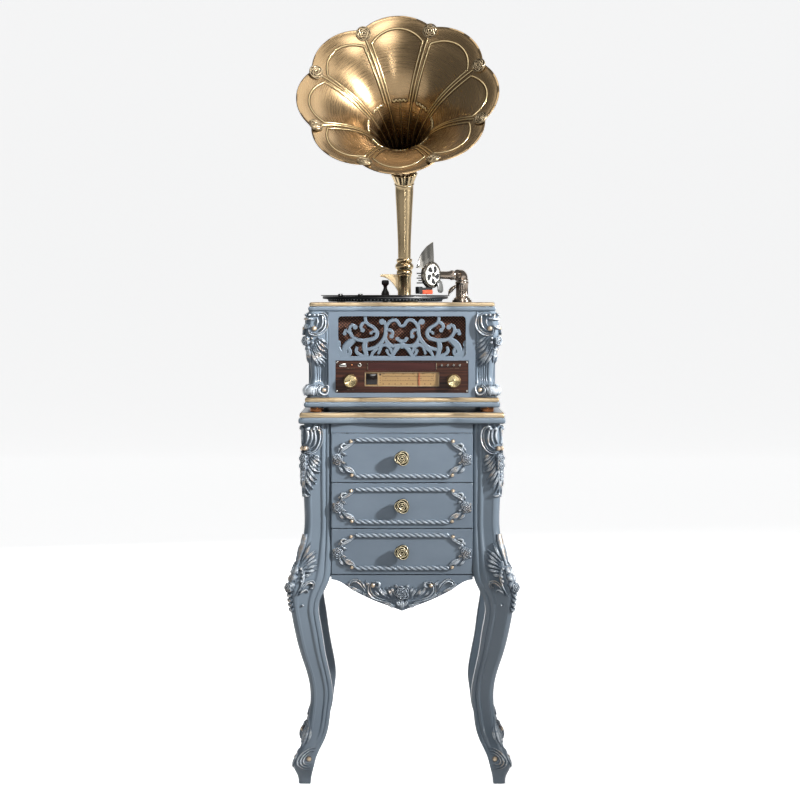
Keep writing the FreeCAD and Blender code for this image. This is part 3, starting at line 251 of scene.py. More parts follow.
def swept(path: np.ndarray, section: np.ndarray, scale: Optional[np.ndarray] = None,
          up: Points = (0, 0, 1)) -> Shape:
    """Carry a closed section along a path, kept square to it, and close both ends.

    A point is path + scale * (s0 * side + s1 * top), where side and top are square to the path.

    Args:
        path: Points of the path.
        section: Closed loop of (side, top) offsets.
        scale: Scale of the section at each path point.
        up: Direction that the section's top leans to, one for all points or one for each.

    Returns:
        The swept solid.
    """
    tangent = unit(np.gradient(path, axis=0))
    side = unit(np.cross(tangent, np.asarray(up, dtype=float)))
    top = np.cross(side, tangent)
    size = np.ones(len(path)) if scale is None else scale
    rows = path[:, None] + size[:, None, None] * (
        section[None, :, :1] * side[:, None] + section[None, :, 1:] * top[:, None])
    return tube(capped(rows, path[0], path[-1]))


def oval(radius_side: float, radius_top: float, count: int = 16) -> np.ndarray:
    """Return an oval loop of points."""
    a = turns(count)
    return np.stack([radius_side * np.cos(a), radius_top * np.sin(a)], axis=1)


class Cut(Enum):
    """How the face of a carved stroke is shaped."""

    LEAF = "leaf"
    SCROLL = "scroll"
    ROUND = "round"
    FLAT = "flat"


LEAF, SCROLL, ROUND, FLAT = Cut


def stroke_face(s: np.ndarray, cut: Cut) -> np.ndarray:
    """Height share across a stroke, from -1 to 1, for a way of cutting it."""
    dome = np.sqrt(np.clip(1 - s * s, 0, 1))
    if cut is LEAF:
        return np.clip(dome**0.8 - 0.34 * bump(s, 0, 0.16), 0, 1)
    if cut is SCROLL:
        return np.clip(1.0 - 0.42 * bump(s, 0, 0.42), 0, 1) * np.clip(dome * 2.2, 0, 1)
    if cut is FLAT:
        return np.clip((1 - np.abs(s)) * 7, 0, 1) ** 0.7
    return dome


@dataclass
class Stroke:
    """One carved stroke: a crowned ribbon along a smooth line, narrowed at its ends.

    Attributes:
        line: Points (u, v) that the stroke passes through.
        width: Half width at its widest.
        height: Relief at its highest.
        cut: Shape of its face.
        start: Share of the width at the first end.
        end: Share of the width at the last end.
        belly: Where along the line the stroke is widest, from 0 to 1.
        steps: Points along it.
        across: Points across its face.
        sink: How far its underside lies below its carrier's surface.
    """

    line: Points
    width: float
    height: float
    cut: Cut = LEAF
    start: float = 0.35
    end: float = 0.1
    belly: float = 0.45
    steps: int = 28
    across: int = 11
    sink: float = 2.5

    def shape(self, place: Place) -> Shape:
        """Build the ribbon: line + s * width across it, raised by the face's height share.

        Args:
            place: Rule that takes (u, v, height) to a point on what carries the stroke.

        Returns:
            A closed shape whose underside is sunk into its carrier.
        """
        line = smooth(self.line, self.steps)
        tangent = unit(np.gradient(line, axis=0))
        normal = np.stack([-tangent[:, 1], tangent[:, 0]], axis=1)
        t = np.linspace(0, 1, self.steps)
        swell = np.where(t < self.belly, self.start + (1 - self.start) * eased(t, 0, self.belly),
                         self.end + (1 - self.end) * (1 - eased(t, self.belly, 1)))
        s = np.linspace(-1, 1, self.across)
        s = np.concatenate([s, s[-1:], s[:1]])
        u_v = line[:, None] + (self.width * swell)[:, None, None] * s[None, :, None] * normal[:, None]
        high = self.height * np.sqrt(swell)[:, None] * stroke_face(s, self.cut)[None, :]
        high[:, -2:] = -self.sink
        rows = capped(np.dstack([u_v, high]), (*line[0], -self.sink), (*line[-1], -self.sink))
        shape = tube(rows, np.clip(rows[..., 2] / self.height, 0, 1))
        return Shape(place(*shape.verts.T), shape.quads, shape.crown)


def on_front(y: float) -> Place:
    """Return the rule for strokes on a flat face at y that looks to the front."""
    return lambda u, v, h: np.stack([u, y - h, v], axis=-1)


def bead(radius: float, height: float) -> Shape:
    """Return a round bead: half an oval turned about Z, sunk a little."""
    a = np.linspace(0, np.pi / 2, 7)
    profile = np.stack([radius * np.cos(a), height * np.sin(a)], axis=1)
    shape = lathe(np.concatenate([[[0, -height / 2], [radius, -height / 2]], profile]), 14)
    shape.crown = np.clip(shape.verts[:, 2] / height, 0, 1)
    return shape


def rose(radius: float, height: float, petals: int = 5, rings: int = 4, segments: int = 60) -> Shape:
    """Return a carved rose: rings of overlapping petals round a bud.

    The height is a dome plus one ridge per ring; a ridge follows a lobed circle, and each ring is
    turned from the one outside it.

    Args:
        radius: Outer radius.
        height: Height of the bud.
        petals: Petals in a ring.
        rings: Number of rings.
        segments: Steps round.

    Returns:
        The rose on the plane Z = 0, sunk a little below it.
    """
    steps = 40
    a = turns(segments)[None, :]
    share = np.linspace(0, 1, steps)[:, None]
    r = share * radius * (0.9 + 0.1 * np.abs(np.sin(petals * a / 2)))
    high = height * (0.4 + 0.42 * (1 - share**2)) + 0 * a
    lips = np.zeros((steps, segments))
    thin = 0.27 / rings
    for k in range(rings):
        lip = (0.94 - k / (rings + 0.15)) * (0.86 + 0.14 * np.abs(np.sin(petals * a / 2 + 1.9 * k)))
        high += 0.26 * height * bump(share, lip, thin)
        lips = np.maximum(lips, bump(share, lip, 1.15 * thin))
    # The rim and the closing middle lie a third of the height below the plane
    r = np.concatenate([r, r[-1:], 0 * a])
    high = np.concatenate([high, np.full((2, segments), -height / 3)])
    lips = np.concatenate([lips, np.zeros((2, segments))])
    return tube(np.stack([r * np.cos(a), r * np.sin(a), high], axis=-1), lips)


def plate(outline: np.ndarray, depth: float) -> Shape:
    """Return a flat plate on an outline of (u, v) points round its own middle, with a soft edge.

    Rings of the outline, drawn in towards its middle, close the front and the back.
    """
    middle = outline.mean(axis=0)
    rows = [(0.0, 0.0), (1.0, 0.0), (1.0, 0.8), (0.985, 1.0), (0.0, 1.0)]
    return tube(np.stack([np.column_stack([middle + (outline - middle) * k, np.full(len(outline), depth * d)])
                          for k, d in rows]))


def box_mm(name: str) -> tuple[np.ndarray, np.ndarray]:
    """Return a CAD node's lowest and highest corner in millimetres."""
    low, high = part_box(name)
    return np.array(low) / MM, np.array(high) / MM


def slab(low: Sequence[float], high: Sequence[float], ease: float = 1.0) -> Shape:
    """Return a board between two corners with eased edges: eight-sided loops at four depths along Y."""
    (x0, y0, z0), (x1, y1, z1) = low, high
    loops = []
    for y, inset in ((y0, ease), (y0 + ease, 0.0), (y1 - ease, 0.0), (y1, ease)):
        left, right, foot, head = x0 + inset, x1 - inset, z0 + inset, z1 - inset
        loop = [(left + ease, foot), (right - ease, foot), (right, foot + ease), (right, head - ease),
                (right - ease, head), (left + ease, head), (left, head - ease), (left, foot + ease)]
        loops.append([(x, y, z) for x, z in loop])
    x, z = (x0 + x1) / 2, (z0 + z1) / 2
    return tube(capped(np.array(loops, dtype=float), (x, y0, z), (x, y1, z)))


# Finishes: each is a small class that names a real material and builds its shader


def linear(hex_colour: str) -> tuple[float, float, float, float]:
    """Turn an sRGB hex colour into the linear values that shaders take."""
    parts = np.array([int(hex_colour[i:i + 2], 16) / 255 for i in (1, 3, 5)])
    values = np.where(parts <= 0.04045, parts / 12.92, ((parts + 0.055) / 1.055) ** 2.4)
    return (*values.tolist(), 1.0)


def node(tree: bpy.types.NodeTree, kind: str, links: Optional[dict] = None, **settings: str) -> bpy.types.Node:
    """Add a shader node.

    Args:
        tree: The material's node tree.
        kind: The node's type name after its common first part.
        links: Input (number or name) to a socket to link, or to a plain value.
        settings: Properties of the node itself.

    Returns:
        The new node.
    """
    added = tree.nodes.new("ShaderNode" + kind)
    for key, value in settings.items():
        setattr(added, key, value)
    for key, value in (links or {}).items():
        if isinstance(value, Socket):
            tree.links.new(value, added.inputs[key])
        else:
            added.inputs[key].default_value = value
    return added


@dataclass
class Shading:
    """A shader under construction: its node tree, its main shader and the object's own coordinates.

    Attributes:
        tree: The material's node tree.
        shader: The main shader.
        place: The coordinates of a point on the object.
    """

    tree: bpy.types.NodeTree
    shader: bpy.types.Node
    place: Socket

    def set(self, **values: Union[float, Sequence[float], Socket]) -> None:
        """Give inputs of the shader a value or a socket; an underscore in a name stands for a space."""
        for key, value in values.items():
            entry = self.shader.inputs[key.replace("_", " ")]
            if isinstance(value, Socket):
                self.tree.links.new(value, entry)
            else:
                entry.default_value = value

    def add(self, kind: str, links: dict, output: Union[int, str] = 0, **settings: str) -> Socket:
        """Add a node and return one of its outputs."""
        return node(self.tree, kind, links, **settings).outputs[output]

    def mark(self, name: str, output: str = "Fac") -> Socket:
        """Return a per-vertex mark of the shape."""
        return self.add("Attribute", {}, output, attribute_name=name)

    def sums(self, first: Socket, second: Union[float, Socket], operation: str = "ADD") -> Socket:
        """Return the sum of two values, or what another operation makes of them."""
        return self.add("Math", {0: first, 1: second}, operation=operation)

    def grain(self, size: Sequence[float], detail: float = 3.0, place: Optional[Socket] = None) -> Socket:
        """Return noise whose patches have a size in millimetres along X, Y and Z."""
        spread = self.add("Mapping", {0: place or self.place, 3: tuple(1 / MM / s for s in size)})
        return self.add("TexNoise", {"Vector": spread, "Scale": 1.0, "Detail": detail})

    def ranged(self, value: Socket, limits: Sequence[float], low: float = 0, high: float = 1) -> Socket:
        """Return a value moved from its limits to the range low to high."""
        return self.add("MapRange", {0: value, 1: limits[0], 2: limits[1], 3: low, 4: high})

    def mixed(self, share: Socket, first: Union[str, Socket], second: Union[str, Socket]) -> Socket:
        """Return a colour between two colours, given as hex or as sockets."""
        ends = [linear(c) if isinstance(c, str) else c for c in (first, second)]
        return self.add("Mix", {0: share, 6: ends[0], 7: ends[1]}, 2, data_type="RGBA")

    def bumped(self, height: Socket, depth_mm: float, strength: float) -> None:
        """Let a height, as a share of a depth in millimetres, tilt the light on the surface."""
        self.set(Normal=self.add("Bump", {"Strength": strength, "Distance": depth_mm * MM, "Height": height}))


@dataclass(frozen=True)
class Finish:
    """A finish: a base colour with a roughness, and what a subclass adds to it."""

    name: str
    colour: str
    roughness: float = 0.45
    metallic: float = 0.0
    made: ClassVar[dict] = {}

    def material(self) -> bpy.types.Material:
        """Return the material, built the first time that it is asked for."""
        if self.name not in Finish.made:
            material = bpy.data.materials.new(self.name)
            material.use_nodes = True
            tree = material.node_tree
            tree.nodes.clear()
            shader = node(tree, "BsdfPrincipled", {
                "Base Color": linear(self.colour), "Roughness": self.roughness, "Metallic": self.metallic})
            self.shade(Shading(tree, shader, node(tree, "TexCoord").outputs["Object"]))
            node(tree, "OutputMaterial", {"Surface": shader.outputs[0]})
            Finish.made[self.name] = material
        return Finish.made[self.name]

    def shade(self, s: Shading) -> None:
        """Add what the finish shows beyond its plain colour. A subclass says what."""


@dataclass(frozen=True)
class BrushedPaint(Finish):
    """Brush-laid satin enamel: soft cloudy tone, faint brush lines, uneven sheen."""

    shade_colour: str = "#6A7784"

    def shade(self, s: Shading) -> None:
        """Cloud the tone over 90 mm and lay fine brush lines in the surface."""
        cloud, limits = s.grain((90, 90, 60)), (0.3, 0.7)
        s.set(Base_Color=s.mixed(s.ranged(cloud, limits), self.shade_colour, self.colour),
              Roughness=s.ranged(cloud, limits, self.roughness + 0.08, self.roughness - 0.06))
        s.bumped(s.grain((26, 3, 1.6), 2), 0.25, 0.35)


@dataclass(frozen=True)
class CarvedPaint(Finish):
    """Blue-grey paint on carving: painted shade in the cuts, silver dry-brushed over the crests."""

    hollow_shade_colour: str = "#3F4954"
    crest_colour: str = "#D3D9DE"
    crest_from: float = 0.5
    wear: float = 0.2
    silver: float = 0.9
    touch_colour: str = "#C2A888"

    def shade(self, s: Shading) -> None:
        """Mix painted shade in the hollows, paint and silver by the carving's own height marks, broken up by noise."""
        crown, speckle = s.mark("crown"), s.grain((7, 7, 5), 5)
        worn = s.sums(crown, s.ranged(speckle, (0.25, 0.75), -self.wear, self.wear))
        # Painted shade: the colour falls to the hollow shade colour where the crown mark is low, in the cuts
        low = s.mixed(s.ranged(crown, (0.0, 0.45)), self.hollow_shade_colour, self.colour)
        silver = s.ranged(worn, (self.crest_from, self.crest_from + 0.36), 0, self.silver)
        touches = s.ranged(s.grain((34, 34, 26), 2), (0.5, 0.64), 0, 0.75)
        s.set(Base_Color=s.mixed(silver, low, s.mixed(touches, self.crest_colour, self.touch_colour)),
              Metallic=s.ranged(silver, (0, 1), 0, 0.35), Roughness=s.ranged(silver, (0, 1), self.roughness, 0.34))
        s.bumped(speckle, 0.4, 0.35)


@dataclass(frozen=True)
class RubbedMetal(Finish):
    """Gilding or patinated metal: bright where rubbed and proud, brown in patches and hollows, partly painted shade."""

    patina_and_shade: str = "#6A4A28"
    spread: float = 9.0
    clean: float = 0.35
    relief: float = 0.1

    def shade(self, s: Shading) -> None:
        """Patch the darker colour over a few millimetres, more where the crown is low, rougher than bright metal."""
        patches = s.grain((self.spread,) * 3, 4)
        bright = s.ranged(s.sums(patches, s.mark("crown")), (self.clean + 0.25, self.clean + 0.75))
        s.set(Base_Color=s.mixed(bright, self.patina_and_shade, self.colour),
              Roughness=s.ranged(bright, (0, 1), self.roughness + 0.2, self.roughness))
        s.bumped(patches, self.relief, 0.3)


@dataclass(frozen=True)
class BrushedMetal(Finish):
    """Metal brushed one way: fine scratches along the brush draw the highlight out across it."""

    pitch: Sequence[float] = (0.5, 9.0, 9.0)
    depth: float = 0.05
    tarnish_and_shade: str = "#5A4326"
    clean: float = 0.3
    spun: float = 0.0
    coat: float = 0.0
    streak: float = 0.15

    def shade(self, s: Shading) -> None:
        """Lay scratches along the brush marks; cloudy tarnishing deepens where the crown is low: painted shade."""
        brush = s.mark("brush", "Vector")
        lines = s.grain(tuple(p / MM for p in self.pitch), 3, brush)
        cloud = s.sums(s.grain((45, 45, 45), 4), s.mark("crown"))
        bright = s.ranged(cloud, (self.clean, self.clean + 0.6))
        s.set(Base_Color=s.mixed(bright, self.tarnish_and_shade, self.colour), Coat_Weight=self.coat, Coat_Roughness=0.2,
              Roughness=s.ranged(lines, (0.3, 0.7), self.roughness - self.streak / 3,
                                 self.roughness + 2 * self.streak / 3))
        s.bumped(lines, self.depth, 0.5)
        if self.spun:
            parts = node(s.tree, "SeparateXYZ", {0: brush}).outputs
            turn = s.add("CombineXYZ", {0: s.sums(parts[2], -1.0, "MULTIPLY"), 2: parts[1]})
            world = s.add("VectorTransform", {0: turn}, vector_type="VECTOR", convert_from="OBJECT", convert_to="WORLD")
            s.set(Anisotropic=self.spun, Anisotropic_Rotation=0.25, Tangent=world)


@dataclass(frozen=True)
class WoodGrain(Finish):
    """Sawn or veneered wood: dark streaks drawn out along the grain."""

    dark: str = "#2A1713"
    along: Sequence[float] = (160.0, 6.0, 5.0)
    coat: float = 0.0

    def shade(self, s: Shading) -> None:
        """Mix two wood tones by noise that is long along the grain."""
        streaks = s.grain(self.along, 5)
        s.set(Base_Color=s.mixed(s.ranged(streaks, (0.32, 0.66)), self.dark, self.colour), Coat_Weight=self.coat,
              Specular_IOR_Level=0.25)
        s.bumped(streaks, 0.2, 0.25)


# Scale that gives a wave texture one band for each millimetre
WAVE = 314.159


@dataclass(frozen=True)
class WovenCloth(Finish):
    """Speaker cloth in a diagonal weave: two sets of yarns crossing at 45 degrees."""

    dark: str = "#241009"
    yarn: float = 3.1

    def shade(self, s: Shading) -> None:
        """Cross two waves turned 45 degrees each way in the plane of the cloth."""
        waves = []
        for turn in (45, -45):
            slant = s.add("Mapping", {0: s.place, 2: (0, math.radians(turn), 0)})
            waves.append(s.add("TexWave", {"Vector": slant, "Scale": WAVE / self.yarn, "Distortion": 0.6,
                                           "Detail": 1.0}, 1, bands_direction="X"))
        weave = s.sums(*waves, "MULTIPLY")
        s.set(Base_Color=s.mixed(s.ranged(weave, (0.0, 0.7)), self.dark, self.colour))
        s.bumped(weave, 0.5, 0.7)


@dataclass(frozen=True)
class MouldedPlastic(Finish):
    """Moulded plastic, rubber or varnish: fine texture and uneven sheen."""

    texture: float = 1.2
    glow: float = 0.0

    def shade(self, s: Shading) -> None:
        """Roughen the surface finely; a lit dial also glows a little in its own colour."""
        cloud = s.grain((30, 30, 30), 2)
        s.set(Roughness=s.ranged(cloud, (0.3, 0.7), self.roughness - 0.05, self.roughness + 0.07),
              Emission_Color=linear(self.colour), Emission_Strength=self.glow)
        s.bumped(s.grain((self.texture,) * 3, 3), 0.05, 0.3)


@dataclass(frozen=True)
class PressedVinyl(Finish):
    """Black record vinyl: fine rings of groove spread the light in a fan."""

    centre: Sequence[float] = (0.0, 0.0)
    groove: float = 1.4

    def shade(self, s: Shading) -> None:
        """Ring the surface about the spindle with a wave, finer than the eye counts."""
        spindle = s.add("Mapping", {0: s.place, 1: (-self.centre[0] * MM, -self.centre[1] * MM, 0)})
        rings = s.add("TexWave", {"Vector": spindle, "Scale": WAVE / self.groove, "Distortion": 0.3}, 1,
                      wave_type="RINGS", rings_direction="Z")
        s.set(Roughness=s.ranged(rings, (0, 1), self.roughness - 0.06, self.roughness + 0.1), Specular_IOR_Level=0.22)
        s.bumped(rings, 0.06, 0.5)


class Finishes:
    """The finishes of the record player, each named for its real material and process."""

    # Blue-grey satin enamel: the cool soft ground of the whole cabinet
    paint = BrushedPaint("blue_grey_satin_enamel", "#74818E", 0.34)
    # The same enamel on carving, with silver on the crests and painted shade in the cuts: the frosted relief
    carving = CarvedPaint("silver_brushed_carved_enamel", "#6F7C89", 0.36, hollow_shade_colour="#2A323B",
                          crest_colour="#D0D6DB", crest_from=0.6, silver=0.8)
    # The same enamel on the rope mouldings, brushed more thinly: soft pale strands, painted shade between them
    rope = CarvedPaint("thinly_brushed_rope_enamel", "#74818E", 0.38, hollow_shade_colour="#3A444E",
                       crest_colour="#C3CCD4", crest_from=0.55, silver=0.7, touch_colour="#B9BFC4")
    # The same on mouldings and legs, with only a breath of silver on the arrises and painted shade in the coves
    moulding = CarvedPaint("silver_edged_enamel", "#6E7B87", 0.3, hollow_shade_colour="#434D57", crest_from=0.85,
                           wear=0.06, silver=0.5)
    # Water gilding over brown bole: warm bands, a painted highlight on proud rows, bole and painted shade below
    gilt = RubbedMetal("rubbed_gilding", "#BEA989", 0.34, 0.85, patina_and_shade="#8A7350", spread=30, relief=0.02)
    # Worn gilding on the carved beads: warm tops partly as a painted highlight, greyed lower where the paint shows
    bead_gilt = RubbedMetal("worn_bead_gilding", "#CDB89E", 0.36, 0.6, patina_and_shade="#6F6A68", spread=4, clean=0.5)
    # Spun antique brass of the horn: tangential brushing, a little tarnishing, painted shade deep in the throat
    horn = BrushedMetal("brushed_antique_brass", "#A68B66", 0.25, 1.0, depth=0.03, tarnish_and_shade="#4A3822", clean=0.25,
                        coat=0.3)
    # Polished brass wire on the horn: sharp bright lines
    wire = RubbedMetal("polished_brass_wire", "#D6C195", 0.28, 1.0, patina_and_shade="#A88D5E", clean=0.1, relief=0.02)
    # Painted shadow in dark brass: the strip under each horn wire and the foot of each radio knob
    painted_shadow = RubbedMetal("painted_shadow_brass", "#5A452A", 0.5, 0.7, patina_and_shade="#33250F", spread=6, relief=0.03)
    # Antique brass of the rosettes: greyed petals over brown cuts
    rosette = RubbedMetal("antique_brass_rosette", "#AC9A7C", 0.36, 0.9, patina_and_shade="#3E301C", spread=6, clean=0.45)
    # Polished brass tube of the stem: long dark and bright stripes
    stem = BrushedMetal("polished_brass_tube", "#BDA782", 0.22, 1.0, pitch=(6, 9, 9), depth=0.002,
                        tarnish_and_shade="#7E6844", clean=0.2, streak=0.02)
    # Bronze of the small feet: red-brown with warm glints
    bronze = RubbedMetal("cast_bronze", "#9A6440", 0.2, 1.0, patina_and_shade="#5E351C", spread=7, clean=0.1, relief=0.02)
    # Dark antique brass of the rose knobs: gold petals over near-black cuts
    rose_brass = RubbedMetal("antique_brass_rose", "#E8DAB6", 0.3, 0.65, patina_and_shade="#171207", spread=5, clean=0.68,
                             relief=0.03)
    # Polished bronze of the tone arm: long smooth stripes of light
    arm = BrushedMetal("polished_bronze", "#A99A8C", 0.17, 1.0, pitch=(6, 9, 9), depth=0.002, tarnish_and_shade="#75675C",
                       clean=0.1, streak=0.02)
    # Blued gunmetal ring of the sound box: dark, with sharp glints
    gunmetal = BrushedMetal("blued_gunmetal", "#8C857B", 0.2, 1.0, pitch=(5, 9, 9), depth=0.002, tarnish_and_shade="#45403A",
                            streak=0.02)
    # Bright nickel of the reproducer and its fin
    nickel = BrushedMetal("polished_nickel", "#CFCBC2", 0.14, 1.0, pitch=(5, 9, 9), depth=0.002, tarnish_and_shade="#A09A8E",
                          clean=0.1, streak=0.02)
    # Spun brass of the radio knobs: turning marks fan the light into a bow tie
    brass_knob = BrushedMetal("spun_brass_knob", "#D8C494", 0.24, 1.0, pitch=(4, 6, 6), depth=0.002,
                              tarnish_and_shade="#A78C58", spun=0.9, streak=0.02)
    # Spun aluminium under the platter and plated steel of the works inside
    platter = BrushedMetal("spun_aluminium", "#B9BCBE", 0.28, 1.0, tarnish_and_shade="#8C8F91", clean=0.1)
    steel = BrushedMetal("zinc_plated_steel", "#A9ADB0", 0.32, 1.0, depth=0.03, tarnish_and_shade="#85898C", clean=0.1)
    # Tan painted casting of the horn's bracket
    tan = RubbedMetal("tan_lacquered_casting", "#CFB892", 0.38, 0.35, patina_and_shade="#B9986C", spread=12, clean=0.0)
    # Woods: the radio's panel, the disc tray and the drawer boxes
    rosewood = WoodGrain("lacquered_rosewood", "#4A2A1E", 0.35, dark="#140A08", along=(170, 4, 4.6), coat=0.08)
    tray_red = WoodGrain("red_brown_lacquer", "#40201D", 0.35, dark="#2F1714", along=(120, 8, 9), coat=0.05)
    pine = WoodGrain("sawn_poplar", "#C9A878", 0.6, dark="#A9834F", along=(14, 260, 9))
    cloth = WovenCloth("diagonal_speaker_cloth", "#714630", 0.9, dark="#26140D", yarn=5.2)
    # Back-lit amber dial, a warm even glow, with its printing, display and lamp
    amber = MouldedPlastic("backlit_amber_dial", "#9F8054", 0.35, texture=6, glow=0.02)
    ink = MouldedPlastic("dial_printing_ink", "#2B1608", 0.5)
    display = MouldedPlastic("dark_display_glass", "#17110E", 0.12, texture=5)
    lamp = MouldedPlastic("signal_lamp", "#C77A45", 0.4, glow=0.3)
    # Enamel of the reproducer's face, plastics, rubber, circuit board and the record
    white = MouldedPlastic("white_enamel_face", "#E8E6DE", 0.3, texture=3)
    red = MouldedPlastic("red_plastic", "#B2472C", 0.35)
    black = MouldedPlastic("black_plastic", "#0E0E10", 0.45)
    grey = MouldedPlastic("grey_plastic", "#4E4E4C", 0.35)
    rubber = MouldedPlastic("belt_rubber", "#101010", 0.7)
    board_green = MouldedPlastic("circuit_board_resist", "#1E5A3A", 0.35, texture=4)
    label = MouldedPlastic("paper_record_label", "#8E2E22", 0.6, texture=2)
    vinyl = PressedVinyl("pressed_vinyl", "#070708", 0.42, centre=(-39.0, -30.0))
    # Seamless white paper: bright and even, it only keeps a soft contact shadow
    paper = MouldedPlastic("studio_paper", "#FBFBFB", 0.8, texture=4, glow=0.75)


F = Finishes


# Pieces: how a shape becomes an object, and how a CAD node is dressed


def linked(name: str, data: bpy.types.ID) -> bpy.types.Object:
    """Return a new object of the scene that shows a mesh, a light or a camera."""
    thing = bpy.data.objects.new(name, data)
    bpy.context.scene.collection.objects.link(thing)
    return thing


def made(name: str, shape: Shape, finishes: Sequence[Finish], body: str, slot: str,
         replaces: Sequence[str] = (), crease: float = 38.0) -> None:
    """Make a visual piece from a shape and fasten it to a body.

    Doubled points are merged and the faces turned outwards, so seams and poles close.

    Args:
        name: The piece's name.
        shape: Its surface, in millimetres.
        finishes: Its finishes, by the shape's finish numbers.
        body: The body that it rides on.
        slot: The record's material slot that it belongs to; not used.
        replaces: CAD nodes whose look it takes over.
        crease: Edges sharper than this, in degrees, stay sharp.
    """
    mesh = bpy.data.meshes.new(name)
    mesh.from_pydata((shape.verts * MM).tolist(), [], shape.quads.tolist())
    mesh.attributes.new("crown", "FLOAT", "POINT").data.foreach_set("value", shape.crown.astype(np.float32))
    mesh.attributes.new("brush", "FLOAT_VECTOR", "POINT").data.foreach_set(
        "vector", shape.brush.astype(np.float32).ravel())
    for finish in finishes:
        mesh.materials.append(finish.material())
    mesh.polygons.foreach_set("material_index", shape.tint.astype(np.int32))
    work = bmesh.new()
    work.from_mesh(mesh)
    bmesh.ops.remove_doubles(work, verts=work.verts, dist=2e-6)
    bmesh.ops.dissolve_degenerate(work, edges=work.edges, dist=1e-7)
    bmesh.ops.recalc_face_normals(work, faces=work.faces)
    work.to_mesh(mesh)
    work.free()
    mesh.polygons.foreach_set("use_smooth", np.ones(len(mesh.polygons), dtype=bool))
    mesh.set_sharp_from_angle(angle=math.radians(crease))
    piece = linked(name, mesh)
    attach(piece, body)
    if replaces:
        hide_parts(*replaces)
    LOG.info("made %s: %d faces on %s", name, len(mesh.polygons), body)


class PlainNodes:
    """CAD nodes whose own shape is the look: boards, boxes and works inside."""

    dress: Sequence[tuple[Finish, str]] = (
        (F.paint, "cabinet_sides cabinet_back cabinet_bottom top_rail"),
        (F.paint, "player_sides player_back front_panel front_apron"),
        (F.pine, "drawer_runners lower_drawer_box middle_drawer_box upper_drawer_box"),
        (F.cloth, "speaker_cloth"), (F.rosewood, "radio_panel"), (F.amber, "dial_plate"), (F.red, "dial_pointer"),
        (F.tray_red, "disc_tray"), (F.steel, "disc_mechanism motor motor_pulley"),
        (F.black, "power_inlet loudspeakers"), (F.nickel, "power_button mode_button previous_button next_button"),
        (F.board_green, "amplifier_board"), (F.rubber, "drive_belt"))

    def build(self) -> None:
        """Dress each node in its real material."""
        for finish, names in self.dress:
            for name in names.split():
                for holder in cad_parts[name].material_slots:
                    holder.material = finish.material()
                LOG.info("dressed %s in %s", name, finish.name)


